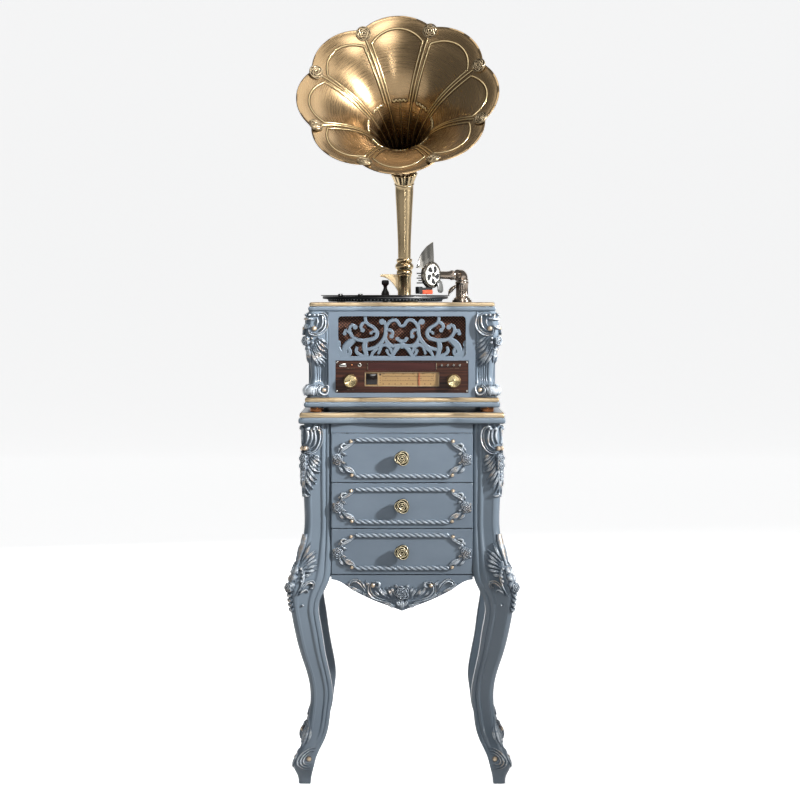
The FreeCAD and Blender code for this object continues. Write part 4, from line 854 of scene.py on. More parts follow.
@dataclass
class Studio:
    """The plain pale floor, the soft light and the camera of the photograph.

    Attributes:
        eye: Place of the camera in metres.
        tilt: Downward pitch in degrees.
        lens: Focal length in millimetres on a square sensor.
        sensor: Width of the sensor in millimetres.
        far: How far the camera sees, in metres.
        floor_half: Half width of the floor, and how far it reaches to the front, in metres.
        sweep: Where the floor begins to rise, the radius of the rise and its top, in metres.
        sky: Colour and strength of the even light all round.
    """

    eye: Sequence[float] = (-0.0045, -6.215, 1.106)
    tilt: float = 2.18
    lens: float = 118.7
    sensor: float = 36.0
    far: float = 100.0
    floor_half: float = 16.0
    sweep: Sequence[float] = (12.0, 3.0, 12.0)
    sky: tuple[str, float] = ("#F4F6F8", 0.19)

    def build(self) -> None:
        """Set the floor, lights, world and camera."""
        self.floor()
        self.light("key_softbox", (3.7, -1.95, 2.64), (0, -0.2, 1.3), (0.3, 0.3), 17.5, 32)
        self.light("fill_softbox", (-2.4, -3.4, 2.5), (0, 0, 1.2), (1.6, 2.2), 15, shine=False)
        self.light("front_softbox", (0.6, -4.0, 3.5), (0, 0, 1.3), (1.8, 1.2), 3.6, 46)
        self.light("strip_softbox", (0.7, -4.6, 1.7), (0, 0, 1.4), (0.14, 1.4), 3.2, 90)
        self.light("top_softbox", (0.2, -0.6, 3.6), (0, 0, 0.9), (2.6, 2.0), 30)
        self.light("rear_softbox", (-1.6, 4.6, 2.6), (0, 0, 0.8), (2.4, 2.4), 140, shine=False)
        self.world()
        data = bpy.data.cameras.new("camera")
        data.lens, data.sensor_fit, data.clip_end = self.lens, "HORIZONTAL", self.far
        data.sensor_width = data.sensor_height = self.sensor
        camera = linked("camera", data)
        camera.location = self.eye
        camera.rotation_euler = Euler((math.radians(90 - self.tilt), 0, 0))
        bpy.context.scene.camera = camera
        bpy.context.scene.view_settings.view_transform = "Standard"

    def floor(self) -> None:
        """Lay a floor that sweeps up behind: a profile in Y and Z carried along X."""
        start, radius, top = self.sweep
        turn = np.linspace(0, np.pi / 2, 24)
        rise = np.stack([start + radius * np.sin(turn), radius - radius * np.cos(turn)], 1)
        run = np.concatenate([[[-self.floor_half, 0.0]], rise, [[start + radius, top]]])
        rows = np.stack([np.column_stack([np.full(len(run), x), run]) for x in (-self.floor_half, self.floor_half)])
        mesh = bpy.data.meshes.new("studio_floor")
        mesh.from_pydata(rows.reshape(-1, 3).tolist(), [], grid_quads(2, len(run)).tolist())
        mesh.polygons.foreach_set("use_smooth", np.ones(len(mesh.polygons), dtype=bool))
        mesh.materials.append(F.paper.material())
        floor = linked("studio_floor", mesh)
        floor.visible_diffuse = False

    def light(self, name: str, place: Sequence[float], target: Sequence[float], size: Sequence[float],
              power: float, spread: float = 180.0, shine: bool = True) -> None:
        """Hang one rectangular softbox and aim it.

        Args:
            name: The light's name.
            place: Where it hangs, in metres.
            target: The point that it looks at.
            size: Its width and height.
            power: Its power in watts.
            spread: Its cone in degrees.
            shine: Whether metal mirrors it.
        """
        data = bpy.data.lights.new(name, "AREA")
        data.shape, data.size, data.size_y, data.energy = "RECTANGLE", size[0], size[1], power
        data.spread = math.radians(spread)
        lamp = linked(name, data)
        lamp.location, lamp.visible_glossy = place, shine
        lamp.rotation_euler = (Vector(target) - Vector(place)).to_track_quat("-Z", "Y").to_euler()

    def world(self) -> None:
        """Surround the set with even pale light."""
        world = bpy.data.worlds.new("studio")
        world.use_nodes = True
        tree = world.node_tree
        tree.nodes.clear()
        glow = node(tree, "Background", {0: linear(self.sky[0]), 1: self.sky[1]})
        node(tree, "OutputWorld", {0: glow.outputs[0]})
        bpy.context.scene.world = world


# Cabinet


@dataclass
class Leg:
    """A cabriole leg that runs up into a corner post, shared by the four corners.

    Attributes:
        places: Sizes of the CAD leg: height, outer and inner half width of the cabinet at that height.
        depth_step: How much less deep than wide the cabinet is, on each side.
        arris: Radius of the outer edge.
        inner_arris: Radius of the other edges.
        lean_leg: How far the shown faces of the leg lie back at their inner edge, as a share of the half width.
        lean_post: The same for the post.
        knee: Heights between which the leg's lean becomes the post's.
        ankle: Heights between which the lean begins.
        rows: Steps up the leg.
        per_face: Steps across a face.
    """

    places: Points = (
        (0, 235.9, 208.9), (17.4, 238.5, 206.6), (41.2, 248, 201), (63.8, 240.6, 194.5), (92.8, 230, 179.9),
        (127, 219, 168.6), (156, 214.1, 165), (197.2, 211, 160.1), (232, 214.3, 163.5), (295.2, 232.1, 176),
        (360.2, 247, 185.6), (408.9, 255.2, 189.7), (452.4, 257, 172), (474, 251.5, 164.2), (494.7, 244.2, 162.6),
        (537.1, 232.1, 162.3), (580, 224, 162), (640, 224, 162), (823, 224, 162))
    depth_step: float = 13.0
    arris: float = 16.0
    inner_arris: float = 2.5
    lean_leg: float = 0.75
    lean_post: float = 0.34
    knee: Sequence[float] = (430, 560)
    ankle: Sequence[float] = (30, 110)
    rows: int = 210
    per_face: int = 40

    def outline(self, z: np.ndarray) -> tuple[np.ndarray, np.ndarray]:
        """Return the outer and inner half width at heights, on a smooth curve through the places."""
        curve = smooth(self.places, 900)
        curve = curve[np.argsort(curve[:, 0])]
        return np.interp(z, curve[:, 0], curve[:, 1]), np.interp(z, curve[:, 0], curve[:, 2])

    def lean(self, p: np.ndarray, z: np.ndarray) -> np.ndarray:
        """How far a shown face lies back: nothing at the arris, rising evenly towards the inner edge."""
        outer, inner = self.outline(z)
        share = self.lean_post + (self.lean_leg - self.lean_post) * (1 - eased(z, *self.knee))
        return -share * eased(z, *self.ankle) * (outer - inner) / 2 * np.clip((0.5 - p) / 1.5, 0, 1)

    def face_relief(self, p: np.ndarray, z: np.ndarray) -> np.ndarray:
        """Relief across a shown face: two beads along the inner edge and a hollow field with a groove beside it.

        p runs from -1 at the inner edge to 1 at the arris, and the relief is in millimetres.
        """
        beads = sum(2.6 * np.sqrt(np.clip(1 - ((p - c) / 0.145) ** 2, 0, 1)) for c in (-0.80, -0.44))
        lower = 1 - eased(z, 500, 590)
        groove = -1.8 * bump(p, 0.52, 0.05) * lower
        dish = -2.0 * eased(p, -0.3, -0.2) * (1 - eased(p, 0.4, 0.5)) * (0.35 + 0.65 * lower)
        return beads * eased(z, 60, 120) + groove * eased(z, 70, 140) + dish * eased(z, 70, 140)

    def shape(self) -> Shape:
        """Build the +X +Y leg: a rounded square section, sized by height, with beads on its two outer faces.

        Each section goes round four faces; the relief moves a point square to its face.
        """
        z = np.linspace(self.places[0][0], self.places[-1][0], self.rows)[:, None]
        outer, inner = self.outline(z)
        centre, half = (outer + inner) / 2, (outer - inner) / 2
        p = np.linspace(-1, 1, self.per_face, endpoint=False)
        ones = np.ones(self.per_face)
        a = np.concatenate([p, ones, -p, -ones])[None, :]
        b = np.concatenate([-ones, p, ones, -p])[None, :]
        side = np.repeat(np.arange(4), self.per_face)[None, :]
        along_y, along_x = side == 1, side == 2
        relief_x = self.face_relief(b, z) * along_y
        relief_y = self.face_relief(a, z) * along_x
        inside = self.lean(np.array(-1.0), z)
        lean_x = self.lean(b, z) * along_y + inside * np.clip(a, 0, 1) * (b == -1) * (1 - along_y)
        lean_y = self.lean(a, z) * along_x + inside * np.clip(b, 0, 1) * (a == -1) * (1 - along_x)
        corner = np.where((a > 0) & (b > 0), np.minimum(self.arris / half, 0.6), self.inner_arris / half)
        over_a, over_b = (np.clip(np.abs(k) - 1 + corner, 0, None) for k in (a, b))
        reach = np.hypot(over_a, over_b)
        pull = np.where(reach > corner, corner / np.maximum(reach, TINY), 1.0)
        round_a, round_b = (np.sign(k) * (np.abs(k) - over + over * pull) for k, over in ((a, over_a), (b, over_b)))
        x = centre + half * round_a + relief_x + lean_x
        y = centre - self.depth_step + half * round_b + relief_y + lean_y
        loops = np.stack([x, y, np.broadcast_to(z, x.shape)], axis=-1)
        middle = np.stack([centre, centre - self.depth_step, z], axis=-1)
        # Painted shade: grooves, flutes and the hollow field take a low crown mark, which the moulding finish darkens
        crown = 0.45 + 0.13 * np.maximum(relief_x, relief_y) + 0.12 * (pull < 1)
        return tube(capped(loops, middle[0], middle[-1]), np.concatenate([crown[:1], crown, crown[-1:]]))

    def wrap(self) -> Place:
        """Return the rule that lays carving round the outer arris."""
        r = self.arris
        quarter = r * np.pi / 4

        def place(u: np.ndarray, v: np.ndarray, h: np.ndarray) -> np.ndarray:
            """Place a point of the carving.

            Args:
                u: Way round from the middle of the arris, positive over the front face, negative over the side.
                v: Height.
                h: Distance off the surface, square to it.

            Returns:
                The point.
            """
            outer, inner = self.outline(v)
            deep, middle, half = outer - self.depth_step, (outer + inner) / 2, (outer - inner) / 2
            angle = np.pi / 4 + np.clip(u, -quarter, quarter) / r
            past = np.clip(np.abs(u) - quarter, 0, None)
            x = outer - r + (r + h) * np.cos(angle) - np.where(u > 0, past, 0)
            y = deep - r + (r + h) * np.sin(angle) - np.where(u < 0, past, 0)
            lean_x = np.where(u < 0, self.lean((y + self.depth_step - middle) / half, v), 0)
            lean_y = np.where(u > 0, self.lean((x - middle) / half, v), 0)
            return np.stack([x + lean_x, y + lean_y, v], axis=-1)

        return place


@dataclass
class CornerCarving:
    """Acanthus carving round a corner, drawn on one face and mirrored about the arris onto the other.

    A subclass carves its strokes in carve, at places (d, v): d is the distance in from the corner as it is
    seen from the front, v is the height.

    Attributes:
        place: Rule that lays the carving round the corner.
        radius: Radius of the corner.
        narrow: Scale of the distances d.
        paint: The painted pieces carved so far.
        gilt: The gilt pieces carved so far.
    """

    place: Place
    radius: float
    narrow: float = 1.0
    paint: list[Shape] = field(default_factory=list)
    gilt: list[Shape] = field(default_factory=list)

    def across(self, d: float) -> float:
        """Turn a distance seen from the front into a distance round the corner."""
        r, d = self.radius, self.narrow * d
        return r * (math.acos(min(1.0, max(-1.0, 1 - d / r))) - math.pi / 4) if d < r else d - r + r * math.pi / 4

    def arris(self, line: Points, width: float, height: float, cut: Cut = LEAF, **ends: float) -> None:
        """Carve one stroke, over the arris, at places round the corner."""
        self.paint.append(Stroke(line, width, height, cut, **ends).shape(self.place))

    def face(self, line: Points, width: float, height: float, cut: Cut = LEAF, **ends: float) -> None:
        """Carve a stroke on the front face and its mirror on the side face."""
        for sign in (1, -1):
            self.arris([(sign * self.across(d), v) for d, v in line], width, height, cut, **ends)

    def stud(self, shape: Shape, u: float, v: float, lift: float) -> Shape:
        """Return a turned stud (rose or bead) set on the surface, squared to it by the rule's own slopes."""
        foot, top, right, left, seat = self.place(u + np.array([0.0, 0, 1, -1, 0]), np.full(5, float(v)),
                                                  np.array([0.0, 1, 0, 0, lift]))
        return aimed(shape, seat, top - foot, right - left)

    def boss(self, shape: Shape, v: float, lift: float) -> None:
        """Set a painted stud on the arris."""
        self.paint.append(self.stud(shape, 0, v, lift))

    def studs(self, shape: Shape, d: float, v: float, lift: float, gilt: bool = False) -> None:
        """Set a stud on the front face and its mirror on the side face."""
        pair = [self.stud(shape, sign * self.across(d), v, lift) for sign in (1, -1)]
        (self.gilt if gilt else self.paint).extend(pair)

    def carve(self) -> None:
        """Carve the strokes and studs. A subclass says which."""

    def shapes(self) -> tuple[list[Shape], list[Shape]]:
        """Return the painted and the gilt pieces."""
        self.carve()
        return self.paint, self.gilt


class PostCarving(CornerCarving):
    """The upper carving of a post: a C-scroll with a gilt bead over a fan of leaves that tapers to a curl."""

    fan: ClassVar[Sequence[Points]] = (
        ((26, 752), (35, 750), (45, 744)), ((24, 750), (36, 743), (46, 736)),
        ((20, 748), (33, 736), (45, 726)), ((17, 744), (28, 730), (40, 718)),
        ((14, 738), (27, 721), (47, 712)), ((12, 732), (22, 712), (38, 696)),
        ((10, 726), (18, 704), (34, 686)), ((8, 720), (13, 694), (27, 674)))

    def carve(self) -> None:
        """Carve the scrolls, the fan, the crest with its roses, and the beads."""
        self.face([(30, 816), (42, 812), (48, 798), (46, 780), (36, 764), (22, 757), (9, 760)], 4.6, 10,
                  SCROLL, start=0.75, end=0.55, steps=44)
        self.face([(26, 817), (31, 802), (33, 788), (27, 772), (16, 766)], 3.0, 8, ROUND, start=0.9, end=0.4)
        self.face([(19, 812), (23, 800), (22, 786), (17, 776)], 3.4, 7.5, ROUND, start=0.9, end=0.5)
        self.face([(10, 812), (13, 802), (12, 786), (9, 778)], 3.4, 7, ROUND, start=0.9, end=0.5)
        self.face([(38, 814), (32, 817), (27, 813), (31, 808), (36, 810)], 3.0, 12, ROUND, start=0.8, end=0.4)
        for line in self.fan:
            self.face(line, 3.4, 8.5, start=0.4, end=0.35, belly=0.6)
        self.face([(5, 718), (5, 690), (14, 668), (20, 660)], 4.0, 8, start=0.6, end=0.2)
        self.face([(4, 668), (12, 658), (20, 661)], 3.0, 6, ROUND, start=0.5, end=0.4)
        self.arris([(0, 756), (0, 718), (0, 678), (0, 656)], 8, 8, start=0.5, end=0.3, belly=0.3)
        for v in (744, 727):
            self.boss(rose(12, 9, rings=3), v, 3)
        for d in (27, 14):
            self.studs(bead(5.2, 9), d, 812, 2)
        for radius, v in ((4.2, 714), (4.02, 705), (3.84, 696)):
            self.boss(bead(radius, 6), v, 5)
        self.studs(bead(6.0, 8), 9, 767, 3, gilt=True)


class KneeCarving(CornerCarving):
    """The knee's carving: a ridge and a fan of leaves above, a string of pearls, a scroll and a drop below."""

    fan: ClassVar[Sequence[Points]] = (
        ((12, 512), (20, 535), (24, 552)), ((15, 508), (30, 526), (42, 535)), ((20, 504), (36, 517), (46, 528)),
        ((22, 498), (38, 508), (52, 515)), ((24, 492), (42, 498), (58, 502)), ((26, 486), (44, 489), (58, 490)),
        ((27, 480), (40, 479), (50, 480)))

    def carve(self) -> None:
        """Carve the ridge, the fan, the scrolls, the leaves with their rose, the drop and the pearls."""
        self.arris([(0, 571), (0, 552), (0, 525), (0, 500)], 9, 7, ROUND, start=0.8, end=0.5, belly=0.2)
        for line in self.fan:
            self.face(line, 4.0, 6.5, start=0.3, end=0.3, belly=0.62)
        self.face([(30, 437), (36, 452), (50, 464), (62, 461), (62, 451), (55, 450)], 4.0, 8, SCROLL, start=0.3,
                  end=0.6, steps=40)
        self.face([(28, 434), (36, 443), (46, 446), (51, 440)], 3.2, 6.5, ROUND, start=0.2, end=0.5)
        self.face([(8, 500), (24, 488), (33, 468), (30, 450), (18, 432)], 3.4, 6, ROUND, start=0.5, end=0.3)
        for v, width in ((488, 10), (472, 12), (455, 13)):
            self.arris([(0, v + 14), (0, v), (0, v - 12)], width, 11, start=0.4, end=0.4)
            self.face([(2, v + 4), (10, v), (15, v - 9)], 3.6, 9, start=0.5, end=0.2)
        self.boss(rose(12, 10, rings=3), 452, 4)
        for v, width in ((432, 4.5), (421, 4.0), (410, 3.5), (399, 3.0)):
            self.arris([(-5, v + 6), (0, v), (5, v + 6)], 3.0, 9, ROUND, start=0.5, end=0.5)
            self.arris([(0, v + 5), (0, v - 4)], width, 10, start=0.6, end=0.3, steps=12)
        self.studs(bead(3.4, 5), 34, 411, 0)
        for d, v in ((17, 494), (24, 485), (28, 476), (29, 466)):
            self.studs(bead(4.4, 7), d, v, 1)


class FootCarving(CornerCarving):
    """The ankle's small leaf and the scroll of the foot with its bead."""

    eye: ClassVar[Sequence[float]] = (31, 58)

    def carve(self) -> None:
        """Carve the leaf, the rings of the scroll and the bead in its eye."""
        self.arris([(0, 150), (0, 128), (0, 104), (0, 84)], 8, 5, start=0.2, end=0.5, belly=0.7)
        self.face([(8, 132), (14, 112), (14, 92)], 3.6, 4.5, start=0.3, end=0.4, belly=0.6)
        for radius, last in ((11.5, 310), (17.5, 295), (23.5, 280)):
            turn = np.radians(np.linspace(75, last, 9))
            ring = self.eye + radius * np.stack([np.cos(turn), np.sin(turn)], axis=1)
            self.face(ring, 2.7, 4.5, ROUND, start=0.4, end=0.4, steps=40)
        self.studs(bead(6.4, 7.5), *self.eye, 0, gilt=True)


class Corners:
    """The four legs with their carving."""

    def build(self) -> None:
        """Make a leg and its carvings once and mirror them to the four corners."""
        leg = Leg()
        place = leg.wrap()
        kinds = ((PostCarving, 0.86), (KneeCarving, 0.88), (FootCarving, 1.0))
        pieces = [kind(place, leg.arris, narrow).shapes() for kind, narrow in kinds]
        paint, gilt = (sum(lists, []) for lists in zip(*pieces))
        shape, strokes, studs = leg.shape(), joined(paint), joined(gilt)
        corners = [("%s_%s" % (end, side), sx, sy) for end, sy in (("front", -1), ("rear", 1))
                   for side, sx in (("left", -1), ("right", 1))]
        for corner, sx, sy in corners:
            made("leg_%s_turned" % corner, shape.mirrored(sx, sy), [F.moulding], "cabinet", "painted_wood",
                 ["leg_" + corner])
        for corner, sx, sy in corners:
            replaced = ["cabinet_carvings"] if corner == "front_left" else []
            made("carving_" + corner, strokes.mirrored(sx, sy), [F.carving], "cabinet", "carved_wood", replaced, 60)
        made("carving_gilt_beads", joined([studs.mirrored(sx, sy) for _, sx, sy in corners]), [F.bead_gilt], "cabinet",
             "carved_wood", crease=60)


@dataclass
class MouldedBoard:
    """A board with a waved front and a moulded edge: painted torus below, gilt bead set back above.

    The edge profile is carried round the plan outline; the top and underside close on the middle.

    Attributes:
        node: CAD node that it stands for.
        half_width: Half width of its plan; it is as deep less the depth step.
        bottom: Height of its underside.
        height: Its thickness.
        gilt_from: Height share above which the edge is gilt.
        gilt_to: Height share up to which it is gilt.
        wave: Depth of the front's wave.
        lip: How far the profile's full inset goes in.
        depth_step: How much less deep than wide the board is, on each side.
        profile: Rows of inset and height shares up the edge.
        front: Places along the waved front, as shares of the half width and the wave.
        corner: Offsets along and in from a corner that round it.
    """

    node: str
    half_width: float
    bottom: float
    height: float
    gilt_from: float = 0.56
    gilt_to: float = 1.0
    wave: float = 8.0
    lip: float = 7.0
    depth_step: float = 13.0
    profile: Points = (
        (0.85, 0.0), (0.55, 0.02), (0.22, 0.06), (0.07, 0.12), (0.01, 0.20), (0.0, 0.28), (0.02, 0.36), (0.09, 0.44),
        (0.30, 0.50), (0.56, 0.53), (0.58, 0.56), (0.44, 0.58), (0.36, 0.63), (0.33, 0.70), (0.34, 0.78), (0.40, 0.86),
        (0.52, 0.93), (0.72, 0.98), (0.92, 1.0))
    front: Points = ((-1, 0), (-0.78, 0.1), (-0.46, 1), (0, 0.3), (0.46, 1), (0.78, 0.1), (1, 0))
    corner: Points = ((4, 0), (1.2, 1.2), (0, 4))

    def outline(self, inset: float) -> np.ndarray:
        """Return the plan: waved front edge from left to right, then the sides and back with rounded corners."""
        x, y = self.half_width - inset, self.half_width - self.depth_step - inset
        front = smooth(self.front, 90) * (x - self.corner[0][0], self.wave) - (0, y)
        right = [(x - a, b - y) for a, b in self.corner] + [(x - a, y - b) for a, b in self.corner[::-1]]
        left = [(-a, b) for a, b in right[:0:-1]]
        return np.concatenate([front, right, left])

    def build(self) -> None:
        """Make the board."""
        insets, shares = np.array(self.profile).T
        rows = np.stack([np.insert(self.outline(self.lip * i), 2, self.bottom + self.height * h, axis=1)
                         for i, h in self.profile])
        around = rows.shape[1]
        loops = capped(rows, (0, 0, self.bottom), (0, 0, self.bottom + self.height))
        shares = np.insert(shares, 0, 0)
        band = (shares >= self.gilt_from) & (shares < self.gilt_to)
        # Crown from how far each row stands out: painted shade in the coves, and the gilt brightest on its proudest
        # rows as a painted highlight
        proud = np.concatenate([[0.5], 1 - insets, [0.5]])
        shape = tube(loops, np.repeat(0.2 + 0.6 * proud, around))
        shape.tint = np.repeat(band, around).astype(int)
        made(self.node + "_moulded", shape, [F.moulding, F.gilt], "cabinet", "painted_wood", [self.node])


@dataclass
class DrawerFront:
    """A drawer front: a board with rope bars, gilt beads, leaf scrolls, side roses and a rose knob.

    Attributes:
        level: Which drawer it is.
        face: Y of the board's face.
        thick: Its thickness.
        rope_half: Half length of a rope bar.
        rope_radius: Radius of a rope bar.
        rope_inset: Distance of a rope bar from the board's edge.
        strand_pitch: Length over which a strand comes round to the next one's place.
        drawn_rise: Distance from the middle to a rope bar that the scrolls were drawn for.
        rose_at: Place of the left rose, from the drawer's middle.
        knob_radius: Radius of the knob's rose.
    """

    level: str
    face: float = -208.0
    thick: float = 18.0
    rope_half: float = 109.0
    rope_radius: float = 5.7
    rope_inset: float = 14.5
    strand_pitch: float = 14.1
    drawn_rise: float = 41.5
    rose_at: Sequence[float] = (-146, -3)
    knob_radius: float = 17.5
    leaves: ClassVar[Sequence[tuple]] = (
        (((-142, 7), (-137, 17), (-127, 25), (-117, 31), (-108, 40)), 5.0, 6.5, LEAF, 0.5, 0.5),
        (((-126, 30), (-134, 32), (-139, 27), (-135, 22), (-131, 25)), 3.4, 8, ROUND, 0.6, 0.5),
        (((-137, 12), (-131, 9), (-126, 5)), 3.2, 7, LEAF, 0.7, 0.2),
        (((-146, 14), (-142, 22), (-135, 27)), 3.0, 5, LEAF, 0.4, 0.2),
        (((-137, -14), (-127, -22), (-115, -28), (-107, -40)), 5.6, 7, LEAF, 0.4, 0.5),
        (((-132, -22), (-121, -31), (-112, -34)), 3.0, 8.5, ROUND, 0.4, 0.4),
        (((-144, -18), (-138, -28), (-127, -35)), 4.2, 5, LEAF, 0.4, 0.2),
        (((-136, -8), (-131, -12), (-125, -13)), 2.8, 6, LEAF, 0.7, 0.2))
    neck: ClassVar[Points] = ((0, -2), (9, -2), (9, 2), (7, 4), (5.5, 8), (7, 11), (12, 13), (16, 14.5), (16.6, 16),
                              (15, 17), (0, 17))

    def rope(self, v: float) -> Shape:
        """Build a rope bar: a tube whose radius follows three strands that wind along it."""
        strands, y = 3, self.face - 1.0
        s, a = np.linspace(-self.rope_half, self.rope_half, 190)[:, None], turns(22)[None, :]
        lobe = np.abs(np.cos(strands * a / 2 - np.pi * s / self.strand_pitch)) ** 0.8
        taper = np.clip((self.rope_half - np.abs(s)) / 5, 0.05, 1) ** 0.5
        r = self.rope_radius * taper * (0.62 + 0.38 * lobe)
        rows = np.stack([s + 0 * r, y - r * np.sin(a), v + r * np.cos(a)], axis=-1)
        # Painted shade: the crown mark is low between the strands and on the side towards the board, where the rope
        # finish darkens
        crown = np.pad(lobe**1.4 * (0.56 + 0.44 * np.sin(a)), ((1, 1), (0, 0)))
        return tube(capped(rows, (-self.rope_half, y, v), (self.rope_half, y, v)), crown)

    def scrolls(self, middle: float, rise: float) -> tuple[list[Shape], list[Shape]]:
        """Carve the left-hand end: two leaf arms from the rose to the gilt beads.

        Args:
            middle: Height of the drawer's middle.
            rise: Distance from the middle to a rope bar.

        Returns:
            The painted strokes and the gilt beads.
        """
        k, place, (rose_u, rose_v) = rise / self.drawn_rise, on_front(self.face), self.rose_at
        paint = [Stroke([(u, middle + k * v) for u, v in line], *cut).shape(place) for line, *cut in self.leaves]
        paint.append(facing_front(rose(12.8, 8.5), rose_u, self.face, middle + rose_v))
        for turn in (70, 140, 215, 285):
            a = math.radians(turn)
            sepal = [(rose_u + r * math.cos(b), middle + (rose_v + r * math.sin(b)))
                     for r, b in ((10, a), (16.5, a + 0.15))]
            paint.append(Stroke(sepal, 3.4, 4.5, LEAF, 0.8, 0.2, steps=12).shape(place))
        gilt = [facing_front(bead(4.8, 7.5), u, self.face, middle + k * v) for u, v in ((-116.4, 38), (-114.6, -39.5))]
        return paint, gilt

    def knob(self, middle: float) -> Shape:
        """Turn the knob's neck and set the rose on it."""
        neck = lathe(self.neck, 40)
        # Painted shade: the neck's crown mark falls towards the panel, so it darkens under the rose
        neck.crown = np.clip(neck.verts[:, 2] / 20, 0, 0.6)
        head = rose(self.knob_radius, 8.5, petals=3, segments=90).moved(z=15.2)
        return facing_front(joined([neck, head]), 0, self.face, middle)

    def build(self) -> None:
        """Make the front and its knob."""
        front, body = self.level + "_drawer_front", self.level + "_drawer"
        low, high = box_mm(front)
        middle, rise = (low[2] + high[2]) / 2, (high[2] - low[2]) / 2 - self.rope_inset
        board = slab((low[0], self.face, low[2]), (high[0], self.face + self.thick, high[2]), 1.2)
        board.crown[:] = 0.45
        made(front + "_board", board, [F.paint], body, "painted_wood", [front], 25)
        paint, gilt = self.scrolls(middle, rise)
        ropes = [self.rope(middle + s * rise).painted(1) for s in (1, -1)]
        made(front + "_carving", joined([both_sides(paint), *ropes]), [F.carving, F.rope], body, "carved_wood",
             crease=60)
        made(front + "_beads", both_sides(gilt), [F.bead_gilt], body, "carved_wood")
        made(self.level + "_rose_knob", self.knob(middle), [F.rose_brass], body, "knob_brass",
             [self.level + "_drawer_knob"], 50)


@dataclass
class ApronCarving:
    """The carving along the apron: a leaf scroll, a C-scroll with a gilt bead and leaves on each side of a rose.

    Attributes:
        face: Y of the apron's face.
        scale: Millimetres for one step of the drawing that the leaves are placed on.
        origin: X and height of the drawing's own origin, from which it runs right and down.
    """

    face: float = -208.0
    scale: float = 0.18288
    origin: Sequence[float] = (-268.45, 586.95)
    leaves: ClassVar[Sequence[tuple]] = (
        (((860, 745), (820, 730), (835, 685), (890, 665), (950, 700), (1000, 770), (1040, 830)), 4.0, 7, SCROLL,
         0.7, 0.5, 0.45, 44),
        (((820, 740), (795, 715), (770, 700)), 3.6, 5, LEAF, 0.7, 0.15),
        (((980, 810), (1000, 840), (1050, 850)), 3.6, 6, LEAF, 0.5, 0.3),
        (((1010, 665), (1030, 700), (1050, 735)), 4.4, 6, LEAF, 0.15, 0.5, 0.7),
        (((950, 680), (985, 720), (1020, 790)), 3.0, 8, ROUND, 0.3, 0.4),
        (((1150, 690), (1090, 700), (1060, 760), (1075, 830), (1140, 885), (1230, 915), (1340, 935)), 4.6, 9, SCROLL,
         0.6, 0.5, 0.45, 46),
        (((1140, 690), (1180, 700), (1180, 740), (1140, 750)), 4.2, 9, ROUND, 0.5, 0.6),
        (((1165, 720), (1190, 780), (1250, 850), (1310, 890)), 4.4, 8, LEAF, 0.5, 0.3),
        (((1120, 780), (1150, 830), (1220, 870)), 3.4, 6, LEAF, 0.4, 0.3),
        (((1220, 760), (1250, 810), (1320, 860)), 3.8, 7, LEAF, 0.3, 0.3),
        (((1270, 755), (1310, 800), (1350, 890)), 4.2, 8.5, LEAF, 0.3, 0.4),
        (((1320, 745), (1350, 790), (1370, 850)), 4.0, 7.5, LEAF, 0.3, 0.4),
        (((1290, 940), (1350, 985), (1400, 960)), 5.0, 6.5, LEAF, 0.3, 0.3),
        (((1390, 900), (1420, 950), (1470, 1010)), 5.6, 8, LEAF, 0.5, 0.25),
        (((1380, 720), (1400, 745), (1420, 760)), 4.6, 6, LEAF, 0.4, 0.3))
    edging: ClassVar[Sequence[Points]] = (
        ((-128, 456), (-106, 444), (-84, 436)), ((-92, 440), (-68, 427), (-44, 418)),
        ((-52, 422), (-30, 411), (-10, 403)))

    def at(self, x: float, y: float) -> tuple[float, float]:
        """Turn a place on the drawing into X and height."""
        return self.scale * x + self.origin[0], self.origin[1] - self.scale * y

    def build(self) -> None:
        """Carve the left half, mirror it, and set the rose and the drop in the middle."""
        place = on_front(self.face)
        left = [Stroke([self.at(*p) for p in line], *cut).shape(place) for line, *cut in self.leaves]
        left += [Stroke(line, 4.6, 5.5, LEAF, 0.3, 0.25).shape(place) for line in self.edging]
        bead_x, bead_z = self.at(1105, 728)
        middle = [facing_front(rose(17.5, 12, rings=5, segments=80), 0, self.face - 1, 436),
                  Stroke([(0, 419), (0, 408), (0, 396)], 7, 8, LEAF, 0.6, 0.1).shape(place)]
        made("apron_carving", joined([both_sides(left), *middle]), [F.carving], "cabinet", "carved_wood", crease=60)
        made("apron_beads", both_sides([facing_front(bead(5.6, 9), bead_x, self.face - 3, bead_z)]), [F.bead_gilt],
             "cabinet", "carved_wood")


# Player case


@dataclass
class Pilaster(Leg):
    """A corner pilaster of the player case: the leg's section with a fluted waist."""

    places: Points = (
        (883, 216.6, 168), (900.6, 218.8, 168), (916.3, 211.1, 168), (945.7, 208.9, 168), (973.2, 212.2, 168),
        (1004.5, 218.8, 168), (1026.1, 221, 168), (1051.6, 219.2, 168), (1069.2, 217.7, 168), (1079, 213.3, 168))
    depth_step: float = 11.0
    arris: float = 14.0
    rows: int = 90

    def face_relief(self, p: np.ndarray, z: np.ndarray) -> np.ndarray:
        """Relief across a shown face: a bead along the inner edge and flutes on the waist."""
        edge = 1.6 * np.sqrt(np.clip(1 - ((p + 0.88) / 0.1) ** 2, 0, 1))
        waist = eased(z, 914, 922) * (1 - eased(z, 975, 1000))
        flutes = sum(-1.8 * bump(p, c, 0.07) for c in (-0.66, -0.42, -0.18, 0.06, 0.30))
        return edge + flutes * waist


